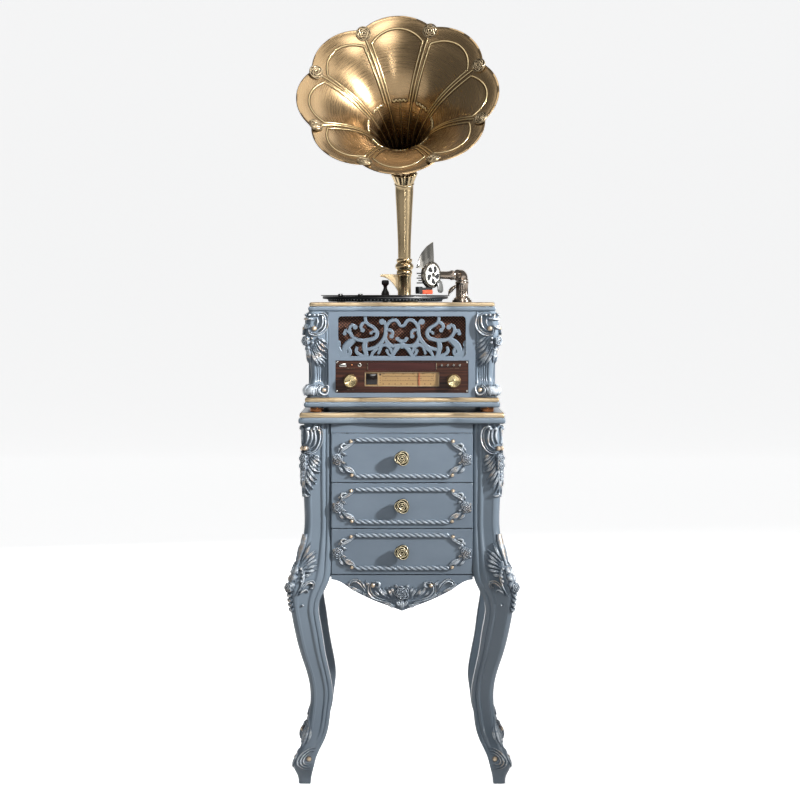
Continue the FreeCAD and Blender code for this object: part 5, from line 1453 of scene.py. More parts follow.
class PilasterCarving(CornerCarving):
    """The pilaster's carving: a C-scroll with a gilt bead, a rose on the arris, leaves, and a roll at the foot."""

    fan: ClassVar[Sequence[Points]] = (
        ((30, 1021), (41, 1013), (49, 1006)), ((27, 1018), (37, 1003), (48, 993)), ((24, 1013), (32, 994), (46, 982)),
        ((21, 1004), (27, 982), (42, 968)), ((18, 1000), (25, 976), (39, 958)), ((14, 998), (20, 974), (33, 954)),
        ((10, 994), (13, 972), (22, 955)))

    def carve(self) -> None:
        """Carve the scroll, the fan with its rose and drop, the roll, and the beads."""
        self.face([(30, 1074), (43, 1070), (48, 1056), (46, 1040), (37, 1030), (24, 1027), (13, 1030), (11, 1038)],
                  4.4, 9, SCROLL, start=0.7, end=0.5, steps=44)
        self.face([(36, 1072), (39, 1056), (34, 1041), (25, 1035)], 2.8, 8, ROUND, start=0.8, end=0.4)
        self.face([(26, 1064), (27, 1052), (24, 1046)], 2.6, 6, ROUND, start=0.5, end=0.4)
        for d in (8, 17, 26):
            self.studs(bead(3.6, 6), d, 1071, 1)
        self.arris([(-18, 1062), (0, 1062), (18, 1062)], 4, 6, ROUND, start=0.6, end=0.6)
        self.arris([(-10, 1048), (0, 1044), (10, 1048)], 6, 7, start=0.4, end=0.4)
        for line in self.fan:
            self.face(line, 3.4, 7.5, start=0.35, end=0.3, belly=0.6)
        for v in (1018, 1008):
            self.studs(bead(3.6, 6), 16, v, 2)
        self.boss(rose(11.5, 9, rings=3), 1012, 2)
        self.arris([(0, 1002), (0, 985), (0, 962)], 7, 8, start=0.6, end=0.2)
        for v in (990, 976):
            self.arris([(-7, v + 5), (0, v), (7, v + 5)], 3, 9, ROUND, start=0.4, end=0.4)
        self.arris([(-19, 899), (0, 899), (19, 899)], 13, 8, ROUND, start=0.95, end=0.95, belly=0.5)
        for u in (-14, 0, 14):
            self.arris([(u, 912), (u, 899), (u, 887)], 2.6, 9.5, ROUND, start=0.6, end=0.6)
        for d in (25, 30):
            self.face([(d + 2, 913), (d - 1, 900), (d + 2, 887)], 2.0, 8, ROUND, start=0.6, end=0.6)
        curl = [(41 + 10 * math.cos(a), 900 + 11 * math.sin(a)) for a in np.linspace(2.2, 2.2 + 5.6, 12)]
        self.face(curl, 2.8, 7.5, ROUND, start=0.7, end=0.7, steps=44)
        self.studs(bead(6.4, 8), 20, 1040, 1, gilt=True)
        self.studs(bead(6.0, 7), 41, 900, 0, gilt=True)


@dataclass
class Fretwork:
    """The cut-out scrollwork over the speaker cloth, drawn for the left half and mirrored.

    Attributes:
        face: Y of its face.
        step: Millimetres for one step of the drawing grid.
        middle: The grid's middle line.
        top: Height of the grid's upper edge.
        strokes: Lines on the grid with a half width and the radius of the disc that ends them, 0 for none.
    """

    face: float = -196.0
    step: float = 0.16545
    middle: float = 1430.0
    top: float = 1110.2
    strokes: Sequence[tuple] = (
        (((925, 245), (928, 320), (985, 380), (1058, 430), (1086, 490), (1062, 548), (1000, 576), (900, 590),
          (800, 572), (735, 520), (706, 452), (716, 402), (750, 378), (784, 404)), 4.2, 5.2),
        (((930, 335), (882, 358), (862, 404), (888, 448)), 3.6, 4.6),
        (((1078, 470), (1030, 466), (1004, 486)), 3.0, 3.4),
        (((735, 500), (692, 470), (654, 452), (640, 492)), 3.4, 4.2),
        (((770, 575), (690, 640), (640, 720), (640, 800)), 7.5, 0),
        (((528, 625), (540, 720), (590, 775), (690, 800)), 8.0, 0),
        (((530, 640), (560, 612), (566, 650)), 3.2, 3.6), (((690, 690), (712, 740), (690, 812)), 4.0, 0),
        (((950, 580), (915, 640), (925, 740), (940, 815)), 5.4, 0),
        (((815, 676), (798, 738), (850, 785), (935, 806)), 3.8, 5.2),
        (((940, 715), (1050, 690), (1135, 626), (1190, 540), (1206, 440), (1204, 380), (1186, 336), (1156, 330)),
         4.4, 6.2),
        (((1206, 425), (1248, 342), (1312, 308), (1372, 332), (1402, 380), (1432, 392)), 4.0, 0),
        (((1206, 452), (1268, 448), (1300, 482), (1288, 530)), 3.6, 4.8),
        (((1192, 530), (1222, 612), (1286, 662), (1350, 664), (1432, 648)), 4.4, 0),
        (((1430, 700), (1430, 640), (1430, 588)), 4.4, 0), (((1432, 590), (1392, 592), (1368, 566)), 3.6, 4.4),
        (((1432, 645), (1372, 684), (1312, 762), (1284, 815)), 5.0, 0),
        (((1130, 640), (1128, 700), (1108, 762)), 3.4, 3.2), (((1000, 812), (1040, 742), (1110, 700)), 3.4, 0),
        (((1130, 690), (1180, 650), (1244, 672), (1290, 760)), 4.2, 0),
        (((1290, 800), (1240, 770), (1226, 732)), 3.2, 4.2), (((690, 818), (1060, 818), (1432, 818)), 2.4, 0))

    def build(self) -> None:
        """Cut the strokes as flat ribbons, some ending in a disc."""
        place, pieces = on_front(self.face), []
        for line, width, disc in self.strokes:
            at = [((x - self.middle) * self.step, self.top - y * self.step) for x, y in line]
            ribbon = Stroke(at, 1.16 * width, 3.0, FLAT, 0.8, 0.8, steps=14 + 5 * len(line), across=7)
            pieces.append(ribbon.shape(place))
            if disc:
                x, z = at[-1]
                pieces.append(facing_front(plate(oval(1.05 * disc, 1.05 * disc, 28), 6.05), x, self.face + 3, z))
        shape = both_sides(pieces)
        shape.crown[:] = 0.55
        made("fretwork_cut", shape, [F.moulding], "cabinet", "painted_wood", ["grille_fretwork"], 35)


class PlayerCase:
    """The player's pilasters, fretwork and feet."""

    foot: Points = ((0, 0), (14, 0), (15, 0.7), (15.2, 2), (15.2, 9), (15, 10.3), (14, 11), (0, 11))

    def build(self) -> None:
        """Make the pilasters with their carving, the fretwork and the four feet."""
        column = Pilaster()
        paint, gilt = PilasterCarving(column.wrap(), column.arris).shapes()
        for name, shape, finish, replaced, crease in (
                ("pilasters_fluted", column.shape(), F.moulding, ["corner_pilasters"], 38),
                ("pilaster_carving", joined(paint), F.carving, [], 60),
                ("pilaster_beads", joined(gilt), F.bead_gilt, [], 38)):
            made(name, both_sides([shape.mirrored(-1, -1)]), [finish], "cabinet", "carved_wood", replaced, crease)
        Fretwork().build()
        foot = lathe(self.foot, 48)
        foot.crown = np.clip(np.hypot(*foot.verts.T[:2]) / 20, 0, 1)
        made("bronze_feet", joined([foot.moved(x, y, 849) for x in (-195, 195) for y in (-189, 189)]), [F.bronze],
             "cabinet", "foot_bronze", ["player_feet"])


@dataclass
class RadioFront:
    """The radio's knobs, dial printing, display, screws and sockets.

    Attributes:
        face: Y of the panel's face.
        dial: Y of the dial plate's face.
        knob_x: How far the knobs stand from the middle.
        knob_z: Height of the knobs.
    """

    face: float = -200.0
    dial: float = -196.0
    knob_x: float = 118.0
    knob_z: float = 920.5
    turned_knob: ClassVar[Points] = (
        (0, 0.2), (15.4, 0.2), (16, 0.9), (16, 4.4), (15.2, 5.2), (14.2, 5.6), (13.9, 7), (13.7, 12.6), (13.1, 14),
        (12.2, 14.8), (11.4, 14.4), (10.8, 13.4), (6, 12.9), (2.2, 12.8), (0.0, 13.2))
    # Bars of a numeral: place across and up, in half sizes, and whether the bar lies flat
    bars: ClassVar[dict] = {"a": (0, 1, 1), "b": (0.5, 0.5, 0), "c": (0.5, -0.5, 0), "d": (0, -1, 1),
                            "e": (-0.5, -0.5, 0), "f": (-0.5, 0.5, 0), "g": (0, 0, 1)}
    # The bars that each numeral shows, from 0 to 9
    shown: ClassVar[Sequence[str]] = ("abcdef", "bc", "abdeg", "abcdg", "bcfg", "acdfg", "acdefg", "abc", "abcdefg",
                                      "abcdfg")

    def knob(self, x: float, name: str, body: str) -> None:
        """Turn a knob: a ribbed skirt and a dished face with a raised rim and an index mark."""
        around, skirt_rows = 138, 5
        shape = lathe(self.turned_knob, around, ribbed(46, 0.012, 0.38, 0.58))
        shape.crown[:] = 0.8
        # The foot rows, where the knob meets the panel, take the dark brass finish: painted shade
        shape.tint[:skirt_rows * around] = 2
        index = slab((-0.7, -14.75, 9.2), (0.7, -13.4, 13.0), 0.2).moved(x, self.face, self.knob_z).painted(1)
        made(name + "_spun", joined([facing_front(shape, x, self.face, self.knob_z), index]),
             [F.brass_knob, F.ink, F.painted_shadow], body, "knob_brass", [name], 45)

    def spot(self, x: float, z: float, radius: float, y: float, depth: float = 0.25) -> Shape:
        """Return a small round plate that faces the front."""
        return facing_front(plate(oval(radius, radius, 18), depth), x, y, z)

    def mark(self, x: float, z: float, width: float, height: float, y: float, depth: float = 0.25) -> Shape:
        """Return a small bar that faces the front."""
        return slab((x - width / 2, y - depth, z - height / 2), (x + width / 2, y, z + height / 2),
                    min(0.1, width / 4, height / 4))

    def numerals(self, values: Sequence[int], first: float, step: float, z: float, size: float,
                 pitch: float) -> list[Shape]:
        """Return a row of plain numerals built of bars, as on a display.

        Args:
            values: The numbers.
            first: X of the first number's middle.
            step: Distance from one number to the next.
            z: Height of their middle.
            size: Height of a numeral's half.
            pitch: Distance from one numeral of a number to the next.

        Returns:
            The bars.
        """
        shapes, long, thin = [], size * 0.5, size * 0.13
        for k, text in enumerate(map(str, values)):
            for i, numeral in enumerate(text):
                x = first + step * k + pitch * (i - (len(text) - 1) / 2)
                for across, up, flat in (self.bars[key] for key in self.shown[int(numeral)]):
                    width, height = (long, thin) if flat else (thin, long)
                    shapes.append(self.mark(x + across * size * 0.5, z + up * size * 0.5, width, height, self.dial))
        return shapes

    def printing(self) -> Shape:
        """Print the dial: two scales with ticks and numerals, and rows of dots."""
        y = self.dial
        marks = [self.mark(14, z, 118, 0.5, y) for z in (930.5, 921)]
        marks += [self.mark(-44 + 2.9 * k, *((931.6, 0.5, 2.2) if k % 5 else (932.2, 0.5, 3.4)), y) for k in range(41)]
        marks += [self.mark(-44 + 5.8 * k, 922.0, 0.5, 2.0, y) for k in range(21)]
        marks += self.numerals((88, 92, 96, 100, 104, 108), -42, 22.4, 936.8, 2.6, 2.4)
        marks += self.numerals((54, 70, 90, 120, 160), -36, 26, 926.2, 2.3, 2.2)
        marks += [self.spot(-43 + 13.6 * k, 913.6, 1.2, y) for k in range(9)]
        marks += [self.spot(-49.6, z, r, y) for z, r in ((935, 2.3), (927, 0.9), (922, 0.9), (917, 0.9))]
        return joined(marks)

    def build(self) -> None:
        """Make the knobs and everything on the panel's face."""
        self.knob(-self.knob_x, "volume_knob", "volume")
        self.knob(self.knob_x, "tuning_knob", "tuning")
        made("dial_printing", self.printing(), [F.ink], "cabinet", "dial_amber")
        frame_bars = [self.mark(*bar[:4], self.dial, bar[4]) for bar in (
            (0, 940.2, 170, 1.6, 1.0), (0, 908.8, 170, 1.6, 1.0), (-84.2, 924.5, 1.6, 33, 1.0),
            (84.2, 924.5, 1.6, 33, 1.0), (-54.6, 924.5, 1.4, 31, 0.8))]
        made("dial_frame", joined(frame_bars), [F.gilt], "cabinet", "dial_amber")
        glass = slab((-82.2, self.dial - 0.8, 912), (-56.6, self.dial, 937.4), 0.5)
        made("dial_display", glass, [F.display], "cabinet", "dial_amber")
        self.fittings()

    def fittings(self) -> None:
        """Make the screws, the sockets, the lamp and the trim, small pieces on the panel's face."""
        y = self.face
        head = lathe([(0, -0.5), (2.6, -0.5), (2.6, 0.4), (2.0, 1.1), (0, 1.4)], 24)
        screws = []
        for x, z in ((-148.5, 963.5), (148.5, 963.5), (-148.5, 897.5), (148.5, 897.5)):
            # A black bar across each head stands for its slot: painted shade
            screws += [facing_front(head, x, y, z), self.mark(x, z, 3.8, 0.6, y - 1.15, 0.3).painted(1)]
        made("panel_screws", joined(screws), [F.nickel, F.black], "cabinet", "bright_metal")
        port_x, port_z = -134.6, 956.5
        # Inside the nickel shell a black plate stands for the port's mouth: painted shade; the white bar is the tongue
        port = [self.mark(port_x, port_z, 15.5, 7.4, y, 0.9),
                self.mark(port_x, port_z, 12.4, 4.6, y - 0.85, 0.2).painted(1),
                self.mark(port_x, port_z + 0.8, 10.6, 1.7, y - 0.9, 0.5).painted(2)]
        made("usb_port", joined(port), [F.nickel, F.black, F.white], "cabinet", "bright_metal")
        ring = lathe([(2.0, -0.3), (4.2, -0.3), (4.2, 0.8), (3.4, 1.4), (2.4, 1.4), (2.0, 0.6), (2.0, -0.3)], 30)
        # The jack's hole is a black spot inside the ring: painted shade
        jack = [facing_front(ring, -96.5, y, 957), self.spot(-96.5, 957, 2.3, y, 0.35).painted(1)]
        made("headphone_jack", joined(jack), [F.nickel, F.black], "cabinet", "bright_metal")
        lamp = lathe([(0, -0.2), (1.5, -0.2), (1.5, 0.6), (1.0, 1.2), (0, 1.5)], 20)
        made("power_lamp", facing_front(lamp, -114, y, 957), [F.lamp], "cabinet", "red_plastic")
        trim = [self.mark(x, 953.5, 1.0, 17.6, y, 0.8) for x in (-78.6, 78.6)]
        lines = [self.mark(x, 893.5 + 7 * k, 22, 0.5, y) for x in (-118, 118) for k in (1, 8)]
        made("panel_trim", joined(trim + lines), [F.rose_brass], "cabinet", "bright_metal")


# Deck


@dataclass
class Turntable:
    """The platter with its strobe dots, the record with its label, the clamp and the two knobs beside them.

    Attributes:
        x: X of the spindle.
        y: Y of the spindle.
        platter_radius: Radius of the platter below its flare.
        platter_low: Height of its underside.
        platter_high: Height of its top.
        record_radius: Radius of the record.
        record_high: Height of its top.
        label_radius: Radius of its label.
        turned_knob: Profile of a deck knob.
    """

    x: float = -39.0
    y: float = -30.0
    platter_radius: float = 133.5
    platter_low: float = 1103.0
    platter_high: float = 1114.0
    record_radius: float = 151.0
    record_high: float = 1116.6
    label_radius: float = 50.0
    turned_knob: ClassVar[Points] = ((0, 0.2), (8, 0.2), (8.2, 1.5), (7.6, 4.6), (6.2, 7.5), (5.6, 9), (5.8, 10),
                                     (5.8, 17.6), (5.4, 19.2), (4.4, 20), (0, 20))

    def platter(self) -> Shape:
        """Turn the platter with its flared rim; every third face in one band of the rim is a strobe dot."""
        r, low, high = self.platter_radius, self.platter_low, self.platter_high
        rim, around = self.record_radius - 4, 300
        shape = lathe([
            (0, low - 20), (6, low - 20), (6, low), (r - 9, low - 2.2), (r - 1.6, low - 1.8), (r, low - 0.6),
            (r + 0.6, low + 1.6), (r + 1.2, low + 3.4), (r + 4.4, low + 4.0), (rim - 4, low + 4.6),
            (rim - 1, low + 5.2), (rim, low + 6.4), (rim - 0.6, high - 0.4), (rim - 3, high), (80, high), (3.6, high),
            (3.6, high + 16), (2.4, high + 18), (0, high + 18)], around)
        rows, cols = np.divmod(np.arange(len(shape.quads)), around)
        shape.tint = np.where((rows == 6) & (cols % 3 == 0), 1, np.where((rows >= 3) & (rows <= 13), 0, 2))
        return shape.moved(self.x, self.y)

    def record(self) -> Shape:
        """Turn the record: a raised edge, the grooved field, a dead ring and the label."""
        low, high, around = self.platter_high + 0.05, self.record_high, 160
        r, label = self.record_radius, self.label_radius
        shape = lathe([
            (3.8, low), (r - 1.5, low + 0.5), (r - 0.3, low + 0.8), (r, low + 1.2), (r - 0.3, high - 0.4),
            (r - 1.4, high), (r - 4, high - 0.3), (r - 8, high - 0.5), (110, high - 0.5), (75, high - 0.5),
            (66, high - 0.55), (60, high - 0.45), (53, high - 0.2), (51, high), (label, high), (label, high),
            (30, high), (14, high), (3.8, high), (3.8, low)], around)
        shape.tint = window(np.arange(len(shape.quads)) // around, 14, 18).astype(int)
        return shape.moved(self.x, self.y)

    def clamp(self) -> Shape:
        """Turn the waisted clamp with a ribbed top."""
        profile = [(0, 17.9), (3.75, 17.8), (3.75, 0), (9, 0), (9.4, 1), (9.2, 4), (8.4, 7), (6, 11), (4.4, 15),
                   (4.2, 19), (5.2, 22), (7.4, 24.5), (8.4, 26), (8.5, 31), (8.0, 33.5), (6.4, 35), (0, 35)]
        return lathe(profile, 72, ribbed(24, 0.03, 0.66, 0.88)).moved(self.x, self.y, self.record_high)

    def build(self) -> None:
        """Make the three turning pieces and the knobs."""
        made("platter_turned", self.platter(), [F.black, F.white, F.platter], "turntable", "platter_metal",
             ["platter"], 30)
        made("record_pressed", self.record(), [F.vinyl, F.label], "turntable", "vinyl", ["record"], 50)
        made("clamp_turned", self.clamp(), [F.black], "turntable", "black_plastic", ["record_clamp"])
        knob = lathe(self.turned_knob, 72, ribbed(18, 0.035, 0.5, 0.9))
        pointer = slab((-0.6, -5.9, 12), (0.6, -5.2, 19), 0.2).painted(1)
        for name, body, x in (("start_knob", "start", -148.0), ("speed_knob", "speed", -100.0)):
            made(name + "_turned", joined([knob, pointer]).moved(x, 150, 1100), [F.black, F.white], body,
                 "black_plastic", [name], 45)


def pin(radius: float, low: float, high: float) -> Points:
    """Return the profile of a plain round pin."""
    return (0, low), (radius, low), (radius, high), (0, high)


@dataclass
class ToneArm:
    """The tone arm: fluted post, elbow, tube, sound box with its fin, cartridge, stylus and finger lift.

    Shapes are drawn in the arm's own frame: X along the arm, Y to the sound box's face, Z up.

    Attributes:
        x: X of the post.
        y: Y of the post.
        heading: Where the arm points, in degrees about Z.
        axis: Height of the tube's axis.
        fork: Distance of the fork's screw from the post.
        box_along: Distance of the sound box from the post.
        box_back: Y of the sound box's back.
        box_radius: Its radius.
    """

    x: float = 142.0
    y: float = 30.0
    heading: float = 229.0
    axis: float = 1163.3
    fork: float = 25.0
    box_along: float = 136.0
    box_back: float = 11.0
    box_radius: float = 31.5
    post: ClassVar[Points] = (
        (0, 1100), (23.5, 1100), (23.5, 1103.5), (22.8, 1105), (20.2, 1105.6), (19.8, 1108.4), (18.6, 1110),
        (16.2, 1111), (15.2, 1112.5), (14.6, 1115), (14.6, 1140), (15.2, 1143), (16, 1145), (16, 1147.5),
        (15, 1149.2), (5.1, 1150), (5.1, 1127), (0, 1127))
    arm: ClassVar[Points] = (
        (0, 30), (6, 30), (8.5, 33), (10.6, 34), (11.6, 35.4), (11.6, 39), (10.4, 40.6), (9.6, 42), (9.2, 60),
        (9.2, 104), (9.6, 112), (10.8, 113.4), (11.6, 115), (11.6, 120), (10.8, 121.6), (10, 122.5),
        (10, 126), (0, 126))
    fin_edge: ClassVar[Points] = ((0.0, 1.0), (0.34, 0.84), (0.66, 0.60), (0.88, 0.30), (1.0, 0.0))

    def set(self, shape: Shape) -> Shape:
        """Turn a shape from the arm's frame to the deck."""
        return shape.mapped(lambda v: v @ turned(self.heading) + np.array([self.x, self.y, 0]))

    def across(self, profile: Points, x: float, segments: int = 64, ripple: Optional[Ripple] = None) -> Shape:
        """Turn a profile of (radius, distance) about a line across the arm, towards the sound box's face."""
        return aimed(lathe(profile, segments, ripple), (x, 0, self.axis), (0, 1, 0), (1, 0, 0))

    def flutes(self, a: np.ndarray, share: np.ndarray) -> np.ndarray:
        """Scale of the post's radius: sixteen flutes up its shaft."""
        return 1 - 0.075 * np.abs(np.cos(8 * a)) ** 3 * window(share, 0.52, 0.62)

    def base(self) -> None:
        """Make the stepped flange, the fluted post and its small side lever."""
        post = lathe(self.post, 128, self.flutes)
        post.crown = 0.35 + 0.03 * (np.hypot(*post.verts.T[:2]) - 8)
        line = [(self.x + u, v) for u, v in ((-14, 1138), (-20, 1134), (-30, 1122), (-33, 1114))]
        lever = Stroke(line, 5, 3, ROUND, 0.7, 0.2, sink=3).shape(on_front(self.y - 6))
        made("tonearm_post", joined([post.moved(self.x, self.y), lever]), [F.arm], "cabinet", "arm_bronze",
             ["tonearm_base"], 50)

    def elbow(self) -> None:
        """Bend the elbow from the post to the fork, with a collar below and two ears."""
        a, radius = np.linspace(0, np.pi / 2, 22), 6
        bend = np.stack([radius - radius * np.cos(a), 0 * a, self.axis - radius + radius * np.sin(a)], 1)
        path = np.concatenate([[[0, 0, 1150.6], [0, 0, 1152]], bend, [[17, 0, self.axis]]])
        collar = [(0, 1150.4), (15, 1150.4), (15.4, 1151.4), (15.4, 1153.4), (14.6, 1154.6), (13, 1155.2), (0, 1155.2)]
        pieces = [swept(path, oval(13.6, 13.6, 40), up=(0, 1, 0)), lathe(collar, 56), lathe(pin(5, 1126.6, 1151), 32)]
        ears, screws = (-8.3, 8.3), (-10.2, 10.2)
        pieces += [slab((8, y - 2, 1157.3), (25, y + 2, 1169.3), 0.8) for y in ears]
        pieces += [self.across(pin(6, y - 2, y + 2), self.fork, 32) for y in ears]
        pieces += [self.across(pin(3.2, y - 0.6, y + 0.6), self.fork, 24) for y in screws]
        shape = joined(pieces)
        shape.crown[:] = 0.55
        made("tonearm_elbow_cast", self.set(shape), [F.arm], "arm_swivel", "arm_bronze", ["tonearm_elbow"], 45)

    def tube(self) -> None:
        """Turn the arm's tube with its two rings, and its tongue in the fork."""
        shape = joined([aimed(lathe(self.arm, 56), (0, 0, self.axis), (1, 0, 0), (0, 1, 0)),
                        slab((22, -5.9, 1158.2), (36, 5.9, 1168.4), 1.0), self.across(pin(2, -10, 10), self.fork, 20)])
        shape.crown[:] = 0.5
        made("tonearm_tube_turned", self.set(shape), [F.arm], "arm", "arm_bronze", ["tonearm_tube"], 40)

    def sound_box(self) -> None:
        """Make the sound box: ring, white face with five teardrop openings and a boss, and the faceted fin above."""
        r = self.box_radius
        case = [(0, 0), (r - 8, 0), (r - 5, 0.6), (r - 2, 2.4), (r - 0.6, 4.2), (r, 5.4), (r, 9), (r - 0.5, 10),
                (r - 1.2, 10.4), (r - 0.6, 11.2), (r - 0.6, 12.4), (r - 2.0, 13.6), (r - 4.4, 14), (r - 6.6, 13.2),
                (r - 7.4, 12.4), (24, 12.2), (0, 12.2)]
        face = [(0, 12), (23.8, 12), (23.8, 13.4), (22.8, 14), (18, 14.4), (8, 14.8), (0, 14.9)]
        boss = [(0, 13), (5.2, 13), (5.2, 15.6), (4.2, 16.4), (0, 16.8)]
        pieces = [self.across(case, self.box_along, 144, ribbed(72, 0.008, 0.3, 0.42)).painted(3),
                  self.across(face, self.box_along, 72).painted(1), self.across(boss, self.box_along, 32)]
        # The five openings are black plates on the white face, no holes cut: painted shade in place of holes
        c, s = np.cos(turns(26)), np.sin(turns(26))
        drop = plate(np.stack([13.4 + 8.2 * c, 9.6 * s * (0.62 + 0.38 * c) + 2.4 * c], 1), 0.5)
        for k in range(5):
            opening = drop.mapped(lambda v: v @ turned(72 * k + math.degrees(0.35)))
            pieces.append(aimed(opening, (self.box_along, 14.35, self.axis), (0, 1, 0), (1, 0, 0)).painted(2))
        shape = joined([joined(pieces).moved(y=self.box_back), self.fin()])
        made("sound_box", self.set(shape), [F.nickel, F.white, F.black, F.gunmetal], "arm", "bright_metal",
             ["reproducer"], 30)

    def fin(self) -> Shape:
        """Fold the fin: upright facets between a straight edge and a sweep that rises from the toe to the tip."""
        levels, cols = 9, 13
        foot, y, s = self.axis + self.box_radius / 2, self.box_back + 7, np.linspace(0, 1, cols)
        edge = smooth(self.fin_edge, 80)
        rise, k = 60 * np.interp(s, edge[:, 0], edge[:, 1]) + 0.4, np.linspace(0, 1, levels)[:, None]
        bulge = (1.0 + 4.0 * (1 - 3 * s % 1)) * (1 - 0.75 * k)
        x, z = self.box_along - 8 + 57 * s + 0 * k, foot + rise * k
        front, back = (np.stack([x, y + sign * bulge, z], -1) for sign in (1, -1))
        last = 2 * levels - 1
        sides = [[n * cols + e for n in (row, row + 1, last - 1 - row, last - row)] for row in range(levels - 1)
                 for e in (0, cols - 1)]
        return Shape(np.concatenate([front, back[::-1]]),
                     np.concatenate([grid_quads(last + 1, cols, close_rows=True), np.array(sides)]))

    def head(self) -> None:
        """Make the cartridge with its pins, the red stylus, the needle and the grey finger lift."""
        y, z = self.box_back + 7, 1119.9
        blocks = [((133, -6, 4), (172, 4, 14), 1.0, 0), ((170, -6, -0.6), (184, 6, 16), 1.2, 0),
                  ((133, -3, 12), (150, 3, 22.1), 0.8, 0)]
        for k in range(5):
            odd, up = k % 2, 23.1 + 5.5 * k
            blocks.append(((155, 2 * odd - 2, up), (184 - 3 * odd, 2 * odd, up + 3), 0.6, odd))
        blocks.append(((134, -5, -1.2), (171, 6.6, 8.4), 1.6, 2))
        at = (0, y, z)
        pieces = [slab(np.add(at, low), np.add(at, high), ease).painted(number) for low, high, ease, number in blocks]
        pieces.append(lathe([(0, -0.1), (0.3, -0.1), (1.2, 3.2), (0, 3.2)], 16).moved(150, y, 1116.9).painted(1))
        path = smooth([(119, y + 2, 1152), (117, y + 9, 1147), (115.5, y + 12, 1136), (115, y + 12, 1126),
                       (115.5, y + 11, 1122)], 24)
        swell = np.interp(np.linspace(0, 1, 24), [0, 0.25, 0.85, 1], [0.6, 1, 1.1, 0.6])
        pieces.append(swept(path, oval(9.5, 2.4, 22), swell, up=(0, 1, 0)).painted(3))
        made("cartridge_set", self.set(joined(pieces)), [F.black, F.nickel, F.red, F.grey], "arm", "black_plastic",
             ["cartridge"], 35)

    def build(self) -> None:
        """Make every piece of the arm."""
        self.base()
        self.elbow()
        self.tube()
        self.sound_box()
        self.head()


# Horn


